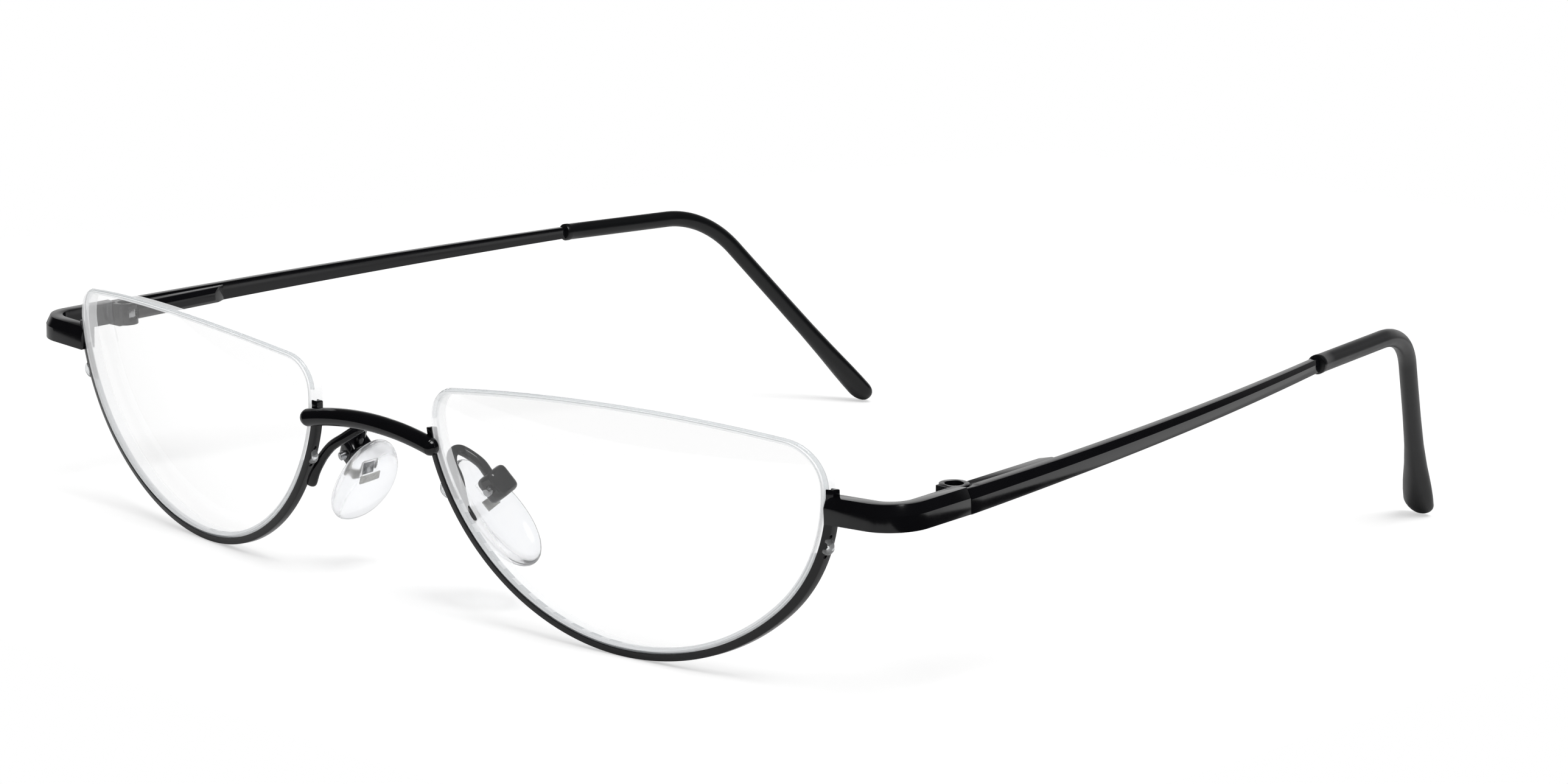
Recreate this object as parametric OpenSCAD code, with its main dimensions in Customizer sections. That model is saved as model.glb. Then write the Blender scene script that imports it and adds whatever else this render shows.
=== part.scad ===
// Half-rim reading glasses: a black metal lower rim and bridge, clear lenses held by a nylon
// line over the top, sprung hinges, black plastic temple tips and clear nose pads on wire arms.
// X runs across the face with the wearer's left at +X, the front faces -Y and the temples run to +Y.
// The glasses stand open on the rims and the temple tips, with the floor at Z = 0.

/* [Lens] */
// Width of each lens along its widest line
lens_w = 50; // [47:0.5:53]
// Gap between the two lenses at the nose
nose_gap = 20; // [17:0.5:24]
// Depth of the lens below its widest line
lens_depth = 21.8; // [21:0.1:24]
// Rise of the lens above its widest line
lens_rise = 5.45; // [5:0.05:7]
// Lowest point, measured from the nose side
low_x = 24.5; // [23:0.25:26]
// Highest point, measured from the nose side
high_x = 29.7; // [27:0.1:32]
// Radius of the side below the widest line, nose side
side_r_nose = 15.5; // [14.5:0.1:17]
// Radius of the side below the widest line, temple side
side_r_temple = 19.3; // [18:0.1:20]
// Radius of the upper corner, nose side
corner_r_nose = 3.65; // [3:0.05:4]
// Radius of the upper corner, temple side
corner_r_temple = 4.55; // [3.5:0.05:4.8]
// Curve of the front of the glasses
face_r = 120; // [100:5:160]
// Forward lean of the lenses in degrees
face_lean = 12; // [8:0.5:15]
// Wrap of each lens round the face in degrees
face_wrap = 8; // [5:0.5:10]
// Lens edge in front of its groove
lens_front = 0.5; // [0.4:0.05:0.8]
// Lens edge behind its groove, at the middle of the lens
lens_back = 2.3; // [1.9:0.1:3]
// Curve of the back of the lens
lens_back_r = 150; // [130:5:180]
// Depth of the groove in the lens edge
groove_depth = 0.4; // [0.3:0.05:0.5]
// Width of the groove in the lens edge
groove_w = 0.56; // [0.5:0.02:0.7]

/* [Rim] */
// Space between the lens edge and the metal rim
rim_gap = 0.25; // [0.2:0.05:0.4]
// Thickness of the rim round the lens
rim_t = 0.85; // [0.75:0.05:1.2]
// Depth of the rim from front to back
rim_depth = 1; // [0.9:0.05:1.4]
// Height of the rim end beside the nose
rim_top_nose = 21.7; // [20:0.1:22.5]
// Height of the rim end at the temple side
rim_top_temple = 22.9; // [22:0.1:23]
// Depth of the channel inside the rim
channel_depth = 0.42; // [0.35:0.01:0.45]
// Diameter of the nylon line
line_d = 0.4; // [0.36:0.02:0.44]
// Height of the line's knot on the nose side
knot_z_nose = 15.3; // [14:0.1:16.5]
// Height of the line's knot on the temple side
knot_z_temple = 17; // [15.5:0.1:17.5]
// Spacing in height of the two line holes
knot_spacing = 1.8; // [1.5:0.1:2.2]
// Diameter of the knot outside the rim
knot_d = 0.9; // [0.7:0.1:1.1]

/* [Bridge] */
// Diameter of the bridge bar
bridge_d = 2.06; // [1.8:0.02:2.4]
// Half the length of the bridge bar, to its domed ends
bridge_reach = 11; // [10.8:0.1:11.6]
// Upward bow of the bridge
bridge_bow = 1.1; // [0.6:0.1:2]
// Height of the bridge ends
bridge_end_z = 19.7; // [18.5:0.1:20.5]
// Place of the bridge ahead of the foot of the rims
bridge_front = 6.85; // [6.7:0.05:7.2]

/* [Endpiece and hinge] */
// Thickness of the endpiece bar
end_t = 2; // [1.8:0.1:2.4]
// Height of the endpiece bar
end_h = 2.8; // [2.6:0.05:3.2]
// Outer radius of the endpiece's bend
end_bend_r = 4.5; // [4:0.1:5.5]
// Distance from the lens edge to the outside of the hinge
end_out = 10.2; // [9.6:0.1:12]
// Space between the lens edge and the end of the endpiece
end_start = 0.2; // [0.15:0.05:0.3]
// Place of the hinge axis behind the front of the endpiece
hinge_back = 12.5; // [11.5:0.1:14]
// Place of the hinge axis in from the outside of the temple
hinge_in = 2.9; // [2.7:0.05:3.2]
// Height of the hinge axis's middle
hinge_z = 21.9; // [21.4:0.1:22.4]
// Radius of the two hinge ears
ear_r = 1.6; // [1.5:0.05:1.65]
// Height of the hinge across both ears
ears_h = 2.75; // [2.6:0.05:3]
// Radius of the spring eye
eye_r = 1.3; // [1.2:0.05:1.35]
// Thickness of the spring eye
eye_t = 1.15; // [1:0.05:1.2]
// Radius of the hinge screw's shank
screw_r = 0.57; // [0.5:0.01:0.6]
// Radius of the hinge screw's head
screw_head_r = 0.98; // [0.9:0.02:1.05]
// Depth of the screw head
screw_head_h = 0.4; // [0.35:0.05:0.45]
// Running clearance round pins and between sliding faces
running_gap = 0.04; // [0.03:0.01:0.06]

/* [Temple] */
// Length of the metal temple behind the hinge axis
temple_l = 75.8; // [60:0.1:90]
// Rise of the temple in degrees
temple_rise = 4.45; // [3.5:0.05:5.5]
// Radius of the temple's inward bow, outer face
temple_bow_r = 566; // [500:10:700]
// Radius of the temple's inward bow, inner face
temple_inner_r = 606; // [540:10:740]
// Thickness of the temple at the hinge
temple_t = 1.5; // [1.3:0.05:1.8]
// Height of the temple at the hinge
temple_h = 2.65; // [2.4:0.05:2.75]
// Height of the temple over the spring housing's end
temple_mid_h = 2.3; // [2.1:0.05:2.6]
// Height of the temple at the plastic tip
temple_end_h = 1.6; // [1.4:0.05:1.9]
// Gap between the endpiece and the temple
temple_gap = 0.15; // [0.1:0.01:0.2]
// Length of the spring housing behind the hinge axis
housing_l = 16.5; // [15.5:0.5:20]
// Width of the spring housing inward from the hinge axis
housing_in = 0.9; // [0.85:0.05:1.1]
// Height of the spring housing
housing_h = 2.05; // [1.9:0.05:2.5]
// Radius of the spring channel
channel_r = 0.64; // [0.6:0.02:0.66]
// Radius of the plunger rod
plunger_r = 0.35; // [0.3:0.05:0.4]
// Place of the plunger's end behind the hinge axis
plunger_l = 13; // [12:0.5:13.5]
// Travel of the plunger when the temple is sprung outwards
flex_travel = 0.66; // [0.6:0.02:0.9]

/* [Temple tip] */
// Diameter of the plastic tip
tip_d = 2; // [1.9:0.1:2.4]
// Diameter of the lip at the tip's mouth
tip_lip_d = 2.4; // [2.3:0.1:2.8]
// Diameter of the temple's core wire
core_d = 1; // [0.9:0.1:1.3]
// Turn of the tip outwards from the line of the temple's end, in degrees
tip_turn = 1.5; // [0:0.1:3]
// Dip of the tip below the line of the temple, in degrees
tip_dip = 0.9; // [0:0.1:2]
// Straight length of the tip before its bend
tip_straight = 18.8; // [14:0.2:24]
// Radius of the tip's bend
tip_bend_r = 16; // [12:0.5:20]
// Angle of the tip's bend
tip_bend = 49.6; // [46:0.2:54]
// Inward roll of the drop in degrees
tip_roll = 14.6; // [10:0.2:18]
// Width of the paddle at the tip's end
paddle_w = 4.4; // [3:0.1:5]
// Thickness of the paddle at the tip's end
paddle_t = 2.4; // [2:0.1:2.8]

/* [Nose pads] */
// Place of the pad screw across the face
pad_x = 11.5; // [11:0.1:12]
// Place of the pad screw behind the foot of the rims
pad_y = 2.1; // [1.8:0.1:4]
// Height of the pad screw
pad_z = 14.6; // [14:0.1:15.2]
// Slope of the pad seen from the front
pad_slope = 34; // [28:0.5:38]
// Lean of the pad's top towards the front
pad_lean = 25; // [18:0.5:30]
// Turn of the pad round its own length
pad_turn = 16.5; // [10:0.5:20]
// Length of the pad
pad_l = 14.4; // [13:0.1:15]
// Width of the pad
pad_w = 8.4; // [7.5:0.1:9]
// Thickness of the pad
pad_t = 2.2; // [1.8:0.1:2.6]
// Drop of the pad's middle below its screw
pad_drop = 2.4; // [1.8:0.1:2.8]
// Height of the pad box along the pad
box_h = 3.6; // [3.2:0.1:4.2]
// Width of the pad box along its screw
box_w = 3.5; // [3.2:0.1:4]
// Depth of the pad box from its screw to its open side
box_reach = 1.3; // [1.25:0.05:1.5]
// Depth of the pad box on the other side of its screw
box_back = 1.75; // [1.7:0.05:2]
// Gap between the pad box and the pad
pad_gap = 0.55; // [0.5:0.05:0.8]
// Thickness of the tab that the pad box holds
tab_t = 1.2; // [1:0.05:1.4]
// Radius of the pad screw
pad_screw_r = 0.5; // [0.45:0.01:0.55]
// Radius of the pad screw's head
pad_screw_head_r = 0.8; // [0.75:0.05:0.85]
// Height of the pad screw's head
pad_screw_head_h = 0.4; // [0.35:0.05:0.45]
// Diameter of the pad arm's wire
arm_d = 1.2; // [1:0.05:1.4]
// Thickness of the grey plate inside the pad
plate_t = 0.45; // [0.35:0.05:0.6]

/* [Hidden] */
fine = 240;
seat_gap = 0.02;
tube_step = 0.01;
left_side = 1;
right_side = -1;
black = [0.07, 0.07, 0.08];
tip_black = [0.12, 0.12, 0.13];
steel = [0.72, 0.72, 0.74];
clear = [0.85, 0.92, 0.95];
pad_clear = [0.9, 0.93, 0.97];

// Places that follow from the sizes above, for the wearer's left side
nose_x = nose_gap / 2;
rim_out = rim_gap + rim_t;
wide_z = rim_out + lens_depth;
mid_x = nose_x + lens_w / 2;
mid_z = rim_out + (lens_depth + lens_rise) / 2;
ball_x = mid_x - face_r * sin(face_wrap);
ball_z = mid_z + face_r * sin(face_lean);
foot_x = nose_x + low_x;
ball_y = sqrt(face_r * face_r - pow(foot_x - ball_x, 2) - pow(ball_z, 2));
ball = [ball_x, ball_y, ball_z];
span = 40;

// Y of the lens groove's surface at a place on the front
function face_y(x, z) = ball_y - sqrt(face_r * face_r - pow(x - ball_x, 2) - pow(z - ball_z, 2));

mid_point = [mid_x, face_y(mid_x, mid_z), mid_z];
back_way = (ball - mid_point) / face_r;
back_ball = mid_point + (lens_back + lens_back_r) * back_way;

// Places along the left temple, all counted from the hinge axis
end_x = nose_x + lens_w + end_start;
out_x = nose_x + lens_w + end_out;
end_y = face_y(nose_x + lens_w, wide_z) - rim_depth / 2;
hinge = [out_x - hinge_in, end_y + hinge_back, hinge_z];
end_face = -0.9;
bow_y = -10.8;
outer_x0 = hinge_in + (bow_y * bow_y) / (2 * temple_bow_r);
inner_x0 = hinge_in - temple_t + (bow_y * bow_y) / (2 * temple_inner_r);
function bow_x(x0, r, y) = x0 - r + sqrt(r * r - pow(y - bow_y, 2));
function outer_x(y) = bow_x(outer_x0, temple_bow_r, y);
function inner_x(y) = bow_x(inner_x0, temple_inner_r, y);
core_x = (outer_x(temple_l) + inner_x(temple_l)) / 2;
tip_lean = asin((temple_l - bow_y) / temple_bow_r) - tip_turn;
seat_r = ear_r + temple_gap;
core_drop = 22;
core_stub = 2;
stop_y = 2.1;
stop_l = 1;
plunger_head_l = 0.8;

// The plate in the pad, its tab and the depth at which it sits
tab_half = 1.15;
pad_back = -box_reach - pad_gap;
plate_in = 0.3;
plate_edge_l = 3;
plate_edge_w = 2;

// Turns of a point about the axes, used to find the end of the temple tip
function about_x(p, a) = [p[0], p[1] * cos(a) - p[2] * sin(a), p[1] * sin(a) + p[2] * cos(a)];
function about_y(p, a) = [p[0] * cos(a) + p[2] * sin(a), p[1], p[2] * cos(a) - p[0] * sin(a)];
function about_z(p, a) = [p[0] * cos(a) - p[1] * sin(a), p[0] * sin(a) + p[1] * cos(a), p[2]];

// The outer middle of the paddle for a given drop; the drop is as long as it takes to reach the floor
paddle_off = (paddle_w - paddle_t) / 2;
function paddle_point(drop) =
    let (
        y = tip_straight + tip_bend_r * sin(tip_bend) + drop * cos(tip_bend),
        z = tip_bend_r * (cos(tip_bend) - 1) - drop * sin(tip_bend),
        turned = about_z(about_x(about_y([paddle_off, y, z], tip_roll), -tip_dip), tip_lean))
    hinge + about_x([core_x, temple_l, 0] + turned, temple_rise);
fall = paddle_point(0)[2] - paddle_point(1)[2];
tip_drop = (paddle_point(0)[2] - paddle_t / 2) / fall;
front_y = -bridge_front - bridge_d / 2;
back_y = paddle_point(tip_drop)[1] + paddle_t / 2;
mid_y = (front_y + back_y) / 2;

// Way of the pad arm's wire, from its foot on the back of the rim to the top of the pad box
arm_foot_z = 13.2;
arm_foot_l = 1.6;
arm_out = rim_gap + rim_t / 2 + 0.15;
arm_back = [0, rim_depth / 2 + arm_d / 2 + seat_gap, 0];
arm_way = [
    edge_point(-1, arm_foot_z - arm_foot_l, arm_out) + arm_back,
    edge_point(-1, arm_foot_z, arm_out) + arm_back,
    [10.6, -3, 15.6],
    [8.9, -2.4, 17],
    [7.9, -1.4, 18],
    [8.1, -0.3, 18.2],
    pad_frame([0, 0, box_h / 2 + 1.4]),
    pad_frame([0, 0, box_h / 2 + seat_gap]),
];

// One quarter of the lens outline: a flat arc from the low or high point, then the side arc
function flat_r(a, b, r) = (a * a + b * b - 2 * a * r) / (2 * (b - r));
function quarter(a, b, r, grow) =
    let (big = flat_r(a, b, r), turn = atan2(a - r, big - b), steps = 12)
    concat(
        [for (i = [0 : steps - 1]) let (t = turn * i / steps)
            [(big + grow) * sin(t), b - big + (big + grow) * cos(t)]],
        [for (i = [0 : steps]) let (t = turn + (90 - turn) * i / steps)
            [a - r + (r + grow) * sin(t), (r + grow) * cos(t)]]);
function place_quarter(q, x0, sx, sz) = [for (p = q) [x0 + sx * p[0], wide_z + sz * p[1]]];
function backward(q, skip) = [for (i = [len(q) - 1 - skip : -1 : 0]) q[i]];
function outline(grow) =
    let (
        low = nose_x + low_x,
        high = nose_x + high_x,
        q1 = place_quarter(quarter(lens_w - low_x, lens_depth, side_r_temple, grow), low, 1, -1),
        q2 = place_quarter(quarter(lens_w - high_x, lens_rise, corner_r_temple, grow), high, 1, 1),
        q3 = place_quarter(quarter(high_x, lens_rise, corner_r_nose, grow), high, -1, 1),
        q4 = place_quarter(quarter(low_x, lens_depth, side_r_nose, grow), low, -1, -1))
    concat(
        q1,
        backward(q2, 1),
        [for (i = [1 : len(q3) - 1]) q3[i]],
        [for (i = [len(q4) - 2 : -1 : 1]) q4[i]]);

// The lens outline, grown by a margin and drawn through the whole depth of the front
module lens_prism(grow) {
    rotate([90, 0, 0])
        linear_extrude(height = span, center = true)
            polygon(outline(grow));
}

module face_ball(r) {
    translate(ball)
        sphere(r = r, $fn = fine);
}

// The layer that lies from front ahead of the groove to back behind it
module face_layer(front, back) {
    difference() {
        face_ball(face_r + front);
        face_ball(face_r - back);
    }
}

// A band round the lens, between two margins and two depths
module lens_band(inner, outer, front, back) {
    intersection() {
        difference() {
            lens_prism(outer);
            lens_prism(inner);
        }
        face_layer(front, back);
    }
}

// Everything below one height on the nose side and another on the temple side
module below(nose_z, temple_z) {
    translate([foot_x - span, -span / 2, nose_z - span])
        cube([span, span, span]);
    translate([foot_x, -span / 2, temple_z - span])
        cube([span, span, span]);
}

module above(nose_z, temple_z) {
    translate([foot_x - span, -span / 2, nose_z])
        cube([span, span, span]);
    translate([foot_x, -span / 2, temple_z])
        cube([span, span, span]);
}

// Heights of the two holes that the line goes through, upper one first
nose_knots = [knot_z_nose + knot_spacing / 2, knot_z_nose - knot_spacing / 2];
temple_knots = [knot_z_temple + knot_spacing / 2, knot_z_temple - knot_spacing / 2];

// The arc of the lens edge below the widest line at a height, as its middle's X and Z and its radius,
// on the nose side (dir -1) or temple side (dir 1)
function edge_arc(dir, z) =
    let (
        a = dir < 0 ? low_x : lens_w - low_x,
        r = dir < 0 ? side_r_nose : side_r_temple,
        big = flat_r(a, lens_depth, r),
        joint_z = wide_z - r * cos(atan2(a - r, big - lens_depth)))
    z > joint_z ? [foot_x + dir * (a - r), wide_z, r] : [foot_x, wide_z - lens_depth + big, big];

// A point out from the lens edge at a height, level with the middle of the rim
function edge_point(dir, z, grow) =
    let (
        arc = edge_arc(dir, z),
        fall = (arc[1] - z) / arc[2],
        out = [dir * sqrt(1 - fall * fall), -fall],
        p = [arc[0], arc[1]] + (arc[2] + grow) * out,
        m = [arc[0], arc[1]] + (arc[2] + rim_gap) * out)
    [p[0], face_y(m[0], m[1]), p[1]];

// A round bar from one point to another, with flat ends
module rod(a, b, r) {
    way = b - a;
    l = norm(way);
    translate(a)
        rotate([0, acos(way[2] / l), atan2(way[1], way[0])])
            cylinder(r = r, h = l, $fn = 48);
}

module each_hole(from, to, r) {
    for (z = nose_knots)
        rod(edge_point(-1, z, from), edge_point(-1, z, to), r);
    for (z = temple_knots)
        rod(edge_point(1, z, from), edge_point(1, z, to), r);
}

module on_side(side) {
    translate([0, -mid_y, 0])
        if (side > 0) children();
        else mirror([1, 0, 0]) children();
}

// Metal rim under the lens, grooved inside, with two pairs of holes for the line
module rim(side) {
    edge = 0.15;
    color(black)
        on_side(side)
            difference() {
                intersection() {
                    union() {
                        lens_band(rim_gap, rim_out, rim_depth / 2 - edge, rim_depth / 2 - edge);
                        lens_band(rim_gap, rim_out - edge, rim_depth / 2, rim_depth / 2);
                    }
                    below(rim_top_nose, rim_top_temple);
                }
                lens_band(rim_gap - 1, rim_gap + channel_depth, groove_w / 2, groove_w / 2);
                each_hole(rim_gap, rim_out + 0.5, line_d / 2 + 0.05);
            }
}

// The space that a rim fills, with its seat clearance, cut from what is fixed to it
module rim_space() {
    lens_band(rim_gap - seat_gap, rim_out + seat_gap, rim_depth / 2 + seat_gap, rim_depth / 2 + seat_gap);
}

// Clear strip pressed into the rim's channel, with a ridge that stands in the lens groove
module rim_liner(side) {
    half = groove_w / 2 - seat_gap;
    nose_z = nose_knots[1] - line_d;
    temple_z = temple_knots[1] - line_d;
    color(clear)
        on_side(side)
            intersection() {
                lens_band(seat_gap - groove_depth, rim_gap + channel_depth - seat_gap, half, half);
                below(nose_z, temple_z);
            }
}

// Reading lens with a groove cut round its edge
module lens(side) {
    color(clear)
        on_side(side)
            difference() {
                intersection() {
                    lens_prism(0);
                    face_ball(face_r + lens_front);
                }
                translate(back_ball)
                    sphere(r = lens_back_r, $fn = fine);
                lens_band(-groove_depth, 1, groove_w / 2, groove_w / 2);
            }
}

// Nylon line: over the top of the lens in its groove, out and back in through the rim's holes
module lens_line(side) {
    r = line_d / 2;
    end_r = r - tube_step;
    sit = line_d - groove_depth + seat_gap;
    knot_out = rim_out + knot_d / 2 + seat_gap;
    color(clear)
        on_side(side) {
            intersection() {
                lens_band(seat_gap - groove_depth, sit, r, r);
                above(nose_knots[0] - r, temple_knots[0] - r);
            }
            for (i = [0, 1]) {
                start = [-groove_depth / 2, rim_gap][i];
                rod(edge_point(-1, nose_knots[i], start), edge_point(-1, nose_knots[i], knot_out), end_r);
                rod(edge_point(1, temple_knots[i], start), edge_point(1, temple_knots[i], knot_out), end_r);
            }
            line_knot(-1, nose_knots, knot_out);
            line_knot(1, temple_knots, knot_out);
        }
}

module line_knot(dir, knots, out) {
    a = edge_point(dir, knots[0], out);
    b = edge_point(dir, knots[1], out);
    rod(a, b, knot_d / 2 - tube_step);
    for (p = [a, b])
        translate(p)
            sphere(r = knot_d / 2, $fn = 48);
}

// Bridge bar, bowed upwards, with domed ends cut flat behind and soldered to the front of both rims
module bridge() {
    r = bridge_d / 2;
    half = bridge_reach - r;
    bow_r = (half * half + bridge_bow * bridge_bow) / (2 * bridge_bow);
    turn = asin(half / bow_r);
    joint_turn = 0.2;
    top_z = bridge_end_z + bridge_bow;
    on_front = [nose_x, face_y(nose_x, bridge_end_z), bridge_end_z];
    back_way = (ball - on_front) / face_r;
    seat = on_front - (max(rim_depth / 2, lens_front) + seat_gap) * back_way;
    color(black)
        translate([0, -mid_y, 0])
            difference() {
                translate([0, -bridge_front, top_z - bow_r])
                    rotate([90, 0, 0]) {
                        rotate([0, 0, 90 - turn - joint_turn])
                            rotate_extrude(angle = 2 * (turn + joint_turn), $fn = fine)
                                translate([bow_r, 0])
                                    circle(r = r, $fn = 48);
                        for (s = [-1, 1])
                            rotate([0, 0, s * turn])
                                translate([0, bow_r, 0])
                                    rotate([0, -s * 90, 0])
                                        rotate_extrude($fn = 48)
                                            intersection() {
                                                circle(r = r, $fn = 48);
                                                square(r);
                                            }
                    }
                for (s = [0, 1])
                    mirror([s, 0, 0])
                        translate(seat)
                            rotate([asin(back_way[2]), 0, -atan2(back_way[0], back_way[1])])
                                translate([-rim_out - seat_gap, 0, -bridge_d])
                                    cube(2 * bridge_d);
            }
}

// Section of the endpiece bar: thickness along X from the inner face, height along Y
module end_section() {
    bevel_t = 0.5;
    bevel_h = 1.1;
    polygon([
        [0, -end_h / 2],
        [end_t, -end_h / 2],
        [end_t, end_h / 2 - bevel_h],
        [end_t - bevel_t, end_h / 2],
        [0, end_h / 2],
    ]);
}

// The bent bar of the endpiece, in a frame at the hinge axis
module end_bar() {
    bend_x = hinge_in - end_bend_r;
    bend_y = end_bend_r - hinge_back;
    start_x = end_x - hinge[0];
    translate([hinge_in - end_t, end_face, 0])
        rotate([90, 0, 0])
            linear_extrude(height = end_face - bend_y)
                end_section();
    translate([bend_x, bend_y, 0])
        rotate([0, 0, -90])
            rotate_extrude(angle = 90, $fn = fine)
                translate([end_bend_r - end_t, 0])
                    end_section();
    translate([bend_x, end_t - hinge_back, 0])
        rotate([90, 0, -90])
            linear_extrude(height = bend_x - start_x)
                end_section();
}

// Endpiece: bent bar soldered over the rim's upper end, with two hinge ears at its rear
module endpiece(side) {
    bar_rise = 4.2;
    bar_climb = 2.8;
    web = 0.4;
    slot_r = eye_r + 0.1;
    slot_h = eye_t + 2 * running_gap;
    lug_in = 1;
    lug_out = 1.3;
    lug_front = slot_r + web;
    sweep_front = 0.6;
    color(black)
        on_side(side)
            difference() {
                translate(hinge) {
                    rotate([bar_rise, -bar_climb, 0])
                        end_bar();
                    rotate([temple_rise, 0, 0]) {
                        cylinder(r = ear_r, h = ears_h, center = true, $fn = 96);
                        translate([-lug_in, -lug_front, -ears_h / 2])
                            cube([lug_in + lug_out, lug_front, ears_h]);
                    }
                }
                translate(hinge)
                    rotate([temple_rise, 0, 0]) {
                        cylinder(r = slot_r, h = slot_h, center = true, $fn = 96);
                        translate([-3, -sweep_front, -slot_h / 2])
                            cube([3 + slot_r, 3, slot_h]);
                        cylinder(r = screw_r + running_gap, h = 2 * ears_h, center = true, $fn = 96);
                        translate([0, 0, ears_h / 2 - screw_head_h - running_gap])
                            cylinder(r = screw_head_r + running_gap, h = 2, $fn = 96);
                    }
                rim_space();
            }
}

// Hinge screw: slotted cheese head and plain shank that the spring eye turns on
module hinge_screw(side) {
    top = ears_h / 2;
    color(steel)
        on_side(side)
            translate(hinge)
                rotate([temple_rise, 0, 0])
                    difference() {
                        union() {
                            translate([0, 0, top - screw_head_h])
                                cylinder(r = screw_head_r, h = screw_head_h, $fn = 96);
                            translate([0, 0, -top])
                                cylinder(r = screw_r, h = 2 * top - screw_head_h / 2, $fn = 96);
                        }
                        translate([-2, -0.15, top - screw_head_h / 2])
                            cube([4, 0.3, 1]);
                    }
}

// Spring eye: the middle knuckle, on a plunger rod that slides inside the spring housing
module hinge_eye(side) {
    neck_w = 0.8;
    color(steel)
        on_side(side)
            translate(hinge)
                rotate([temple_rise, 0, 0])
                    difference() {
                        union() {
                            cylinder(r = eye_r, h = eye_t, center = true, $fn = 96);
                            translate([-neck_w / 2, 0, -neck_w / 2])
                                cube([neck_w, stop_y - 0.1, neck_w]);
                            rotate([-90, 0, 0]) {
                                translate([0, 0, 1])
                                    cylinder(r = plunger_r, h = plunger_l - 1, $fn = 48);
                                translate([0, 0, plunger_l - plunger_head_l])
                                    cylinder(r = channel_r - running_gap, h = plunger_head_l, $fn = 48);
                            }
                        }
                        cylinder(r = screw_r + running_gap, h = 3, center = true, $fn = 96);
                    }
}

// A hollow cylinder along the plunger
module plunger_ring(from, l, outer, inner) {
    translate([0, from, 0])
        rotate([-90, 0, 0])
            difference() {
                cylinder(r = outer, h = l, $fn = 48);
                translate([0, 0, -1])
                    cylinder(r = inner, h = l + 2, $fn = 48);
            }
}

// Coil spring round the plunger, drawn as the sleeve that its turns fill
module flex_spring(side) {
    from = stop_y + stop_l;
    color(steel)
        on_side(side)
            translate(hinge)
                rotate([temple_rise, 0, 0])
                    plunger_ring(from, plunger_l - plunger_head_l - flex_travel - from,
                        channel_r - running_gap, plunger_r + running_gap);
}

// Ring fixed in the housing's mouth that the spring pushes against
module spring_stop(side) {
    color(steel)
        on_side(side)
            translate(hinge)
                rotate([temple_rise, 0, 0])
                    plunger_ring(stop_y, stop_l, channel_r - seat_gap, plunger_r + running_gap);
}

// Even steps from one place to another along the temple
function steps_between(from, to, n) = [for (i = [0 : n]) from + (to - from) * i / n];

// Spring housing: a box brazed to the inner side of the temple, open at the hinge
module hinge_housing(side) {
    top = housing_h / 2;
    cut = 0.5;
    back_cut = 1.2;
    end_room = 0.6;
    deep = 4;
    color(black)
        on_side(side)
            translate(hinge)
                rotate([temple_rise, 0, 0])
                    difference() {
                        intersection() {
                            translate([-housing_in, 0, 0])
                                rotate([-90, 0, 0])
                                    linear_extrude(height = housing_l)
                                        polygon([
                                            [0, cut - top], [cut, -top], [deep, -top],
                                            [deep, top], [cut, top], [0, top - cut],
                                        ]);
                            linear_extrude(height = span, center = true)
                                polygon(concat(
                                    [[-housing_in, 0]],
                                    [for (y = steps_between(0, housing_l, 4)) [inner_x(y) - seat_gap, y]],
                                    [
                                        [back_cut - housing_in, housing_l],
                                        [-housing_in, housing_l - 2 * back_cut],
                                    ]));
                        }
                        cylinder(r = seat_r, h = span, center = true, $fn = 96);
                        rotate([-90, 0, 0])
                            cylinder(r = channel_r, h = plunger_l + end_room, $fn = 48);
                    }
}

// The metal bar of the temple, in a frame at the hinge axis
module temple_bar() {
    start = end_face + temple_gap;
    crease = 0.3;
    bevel = 0.5;
    slope = bevel / (temple_h / 2 - crease);
    top = temple_h / 2 + 1;
    bottom = -temple_h / 2 - 1;
    deep = 20;
    intersection() {
        difference() {
            linear_extrude(height = span, center = true)
                polygon(concat(
                    [for (y = steps_between(start, temple_l, 20)) [outer_x(y), y]],
                    [for (y = steps_between(temple_l, start, 20)) [inner_x(y), y]]));
            cylinder(r = seat_r, h = span, center = true, $fn = 96);
        }
        rotate([90, 0, 90])
            linear_extrude(height = 2 * span, center = true)
                polygon([
                    [start, -temple_h / 2], [housing_l, -temple_mid_h / 2], [temple_l, -temple_end_h / 2],
                    [temple_l, temple_end_h / 2], [housing_l, temple_mid_h / 2], [start, temple_h / 2],
                ]);
        translate([outer_x0 - temple_bow_r, bow_y, 0])
            rotate([0, 0, -2])
                rotate_extrude(angle = 14, $fn = fine)
                    polygon([
                        [temple_bow_r - deep, bottom],
                        [temple_bow_r + 1, bottom],
                        [temple_bow_r + 1, crease - 1 / slope],
                        [temple_bow_r + slope * (crease - top), top],
                        [temple_bow_r - deep, top],
                    ]);
    }
}

// Moves its children to the mouth of the temple tip, with the tip running along +Y
module at_tip() {
    translate([core_x, temple_l, 0])
        rotate([-tip_dip, 0, tip_lean])
            rotate([0, tip_roll, 0])
                children();
}

// A round section carried along the tip: straight, bend and drop, each a step thinner than the last
// and starting a little inside it
module tip_sweep(r, drop) {
    joint_turn = 1;
    inside = 0.1;
    rotate([-90, 0, 0])
        cylinder(r = r, h = tip_straight, $fn = 48);
    translate([0, tip_straight, -tip_bend_r]) {
        rotate([joint_turn, 0, 0])
            rotate([0, -90, 0])
                rotate_extrude(angle = tip_bend + joint_turn, $fn = fine)
                    translate([tip_bend_r, 0])
                        circle(r = r - tube_step, $fn = 48);
        rotate([-tip_bend, 0, 0])
            translate([0, -inside, tip_bend_r])
                rotate([-90, 0, 0])
                    cylinder(r = r - 2 * tube_step, h = drop + inside, $fn = 48);
    }
}

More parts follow.
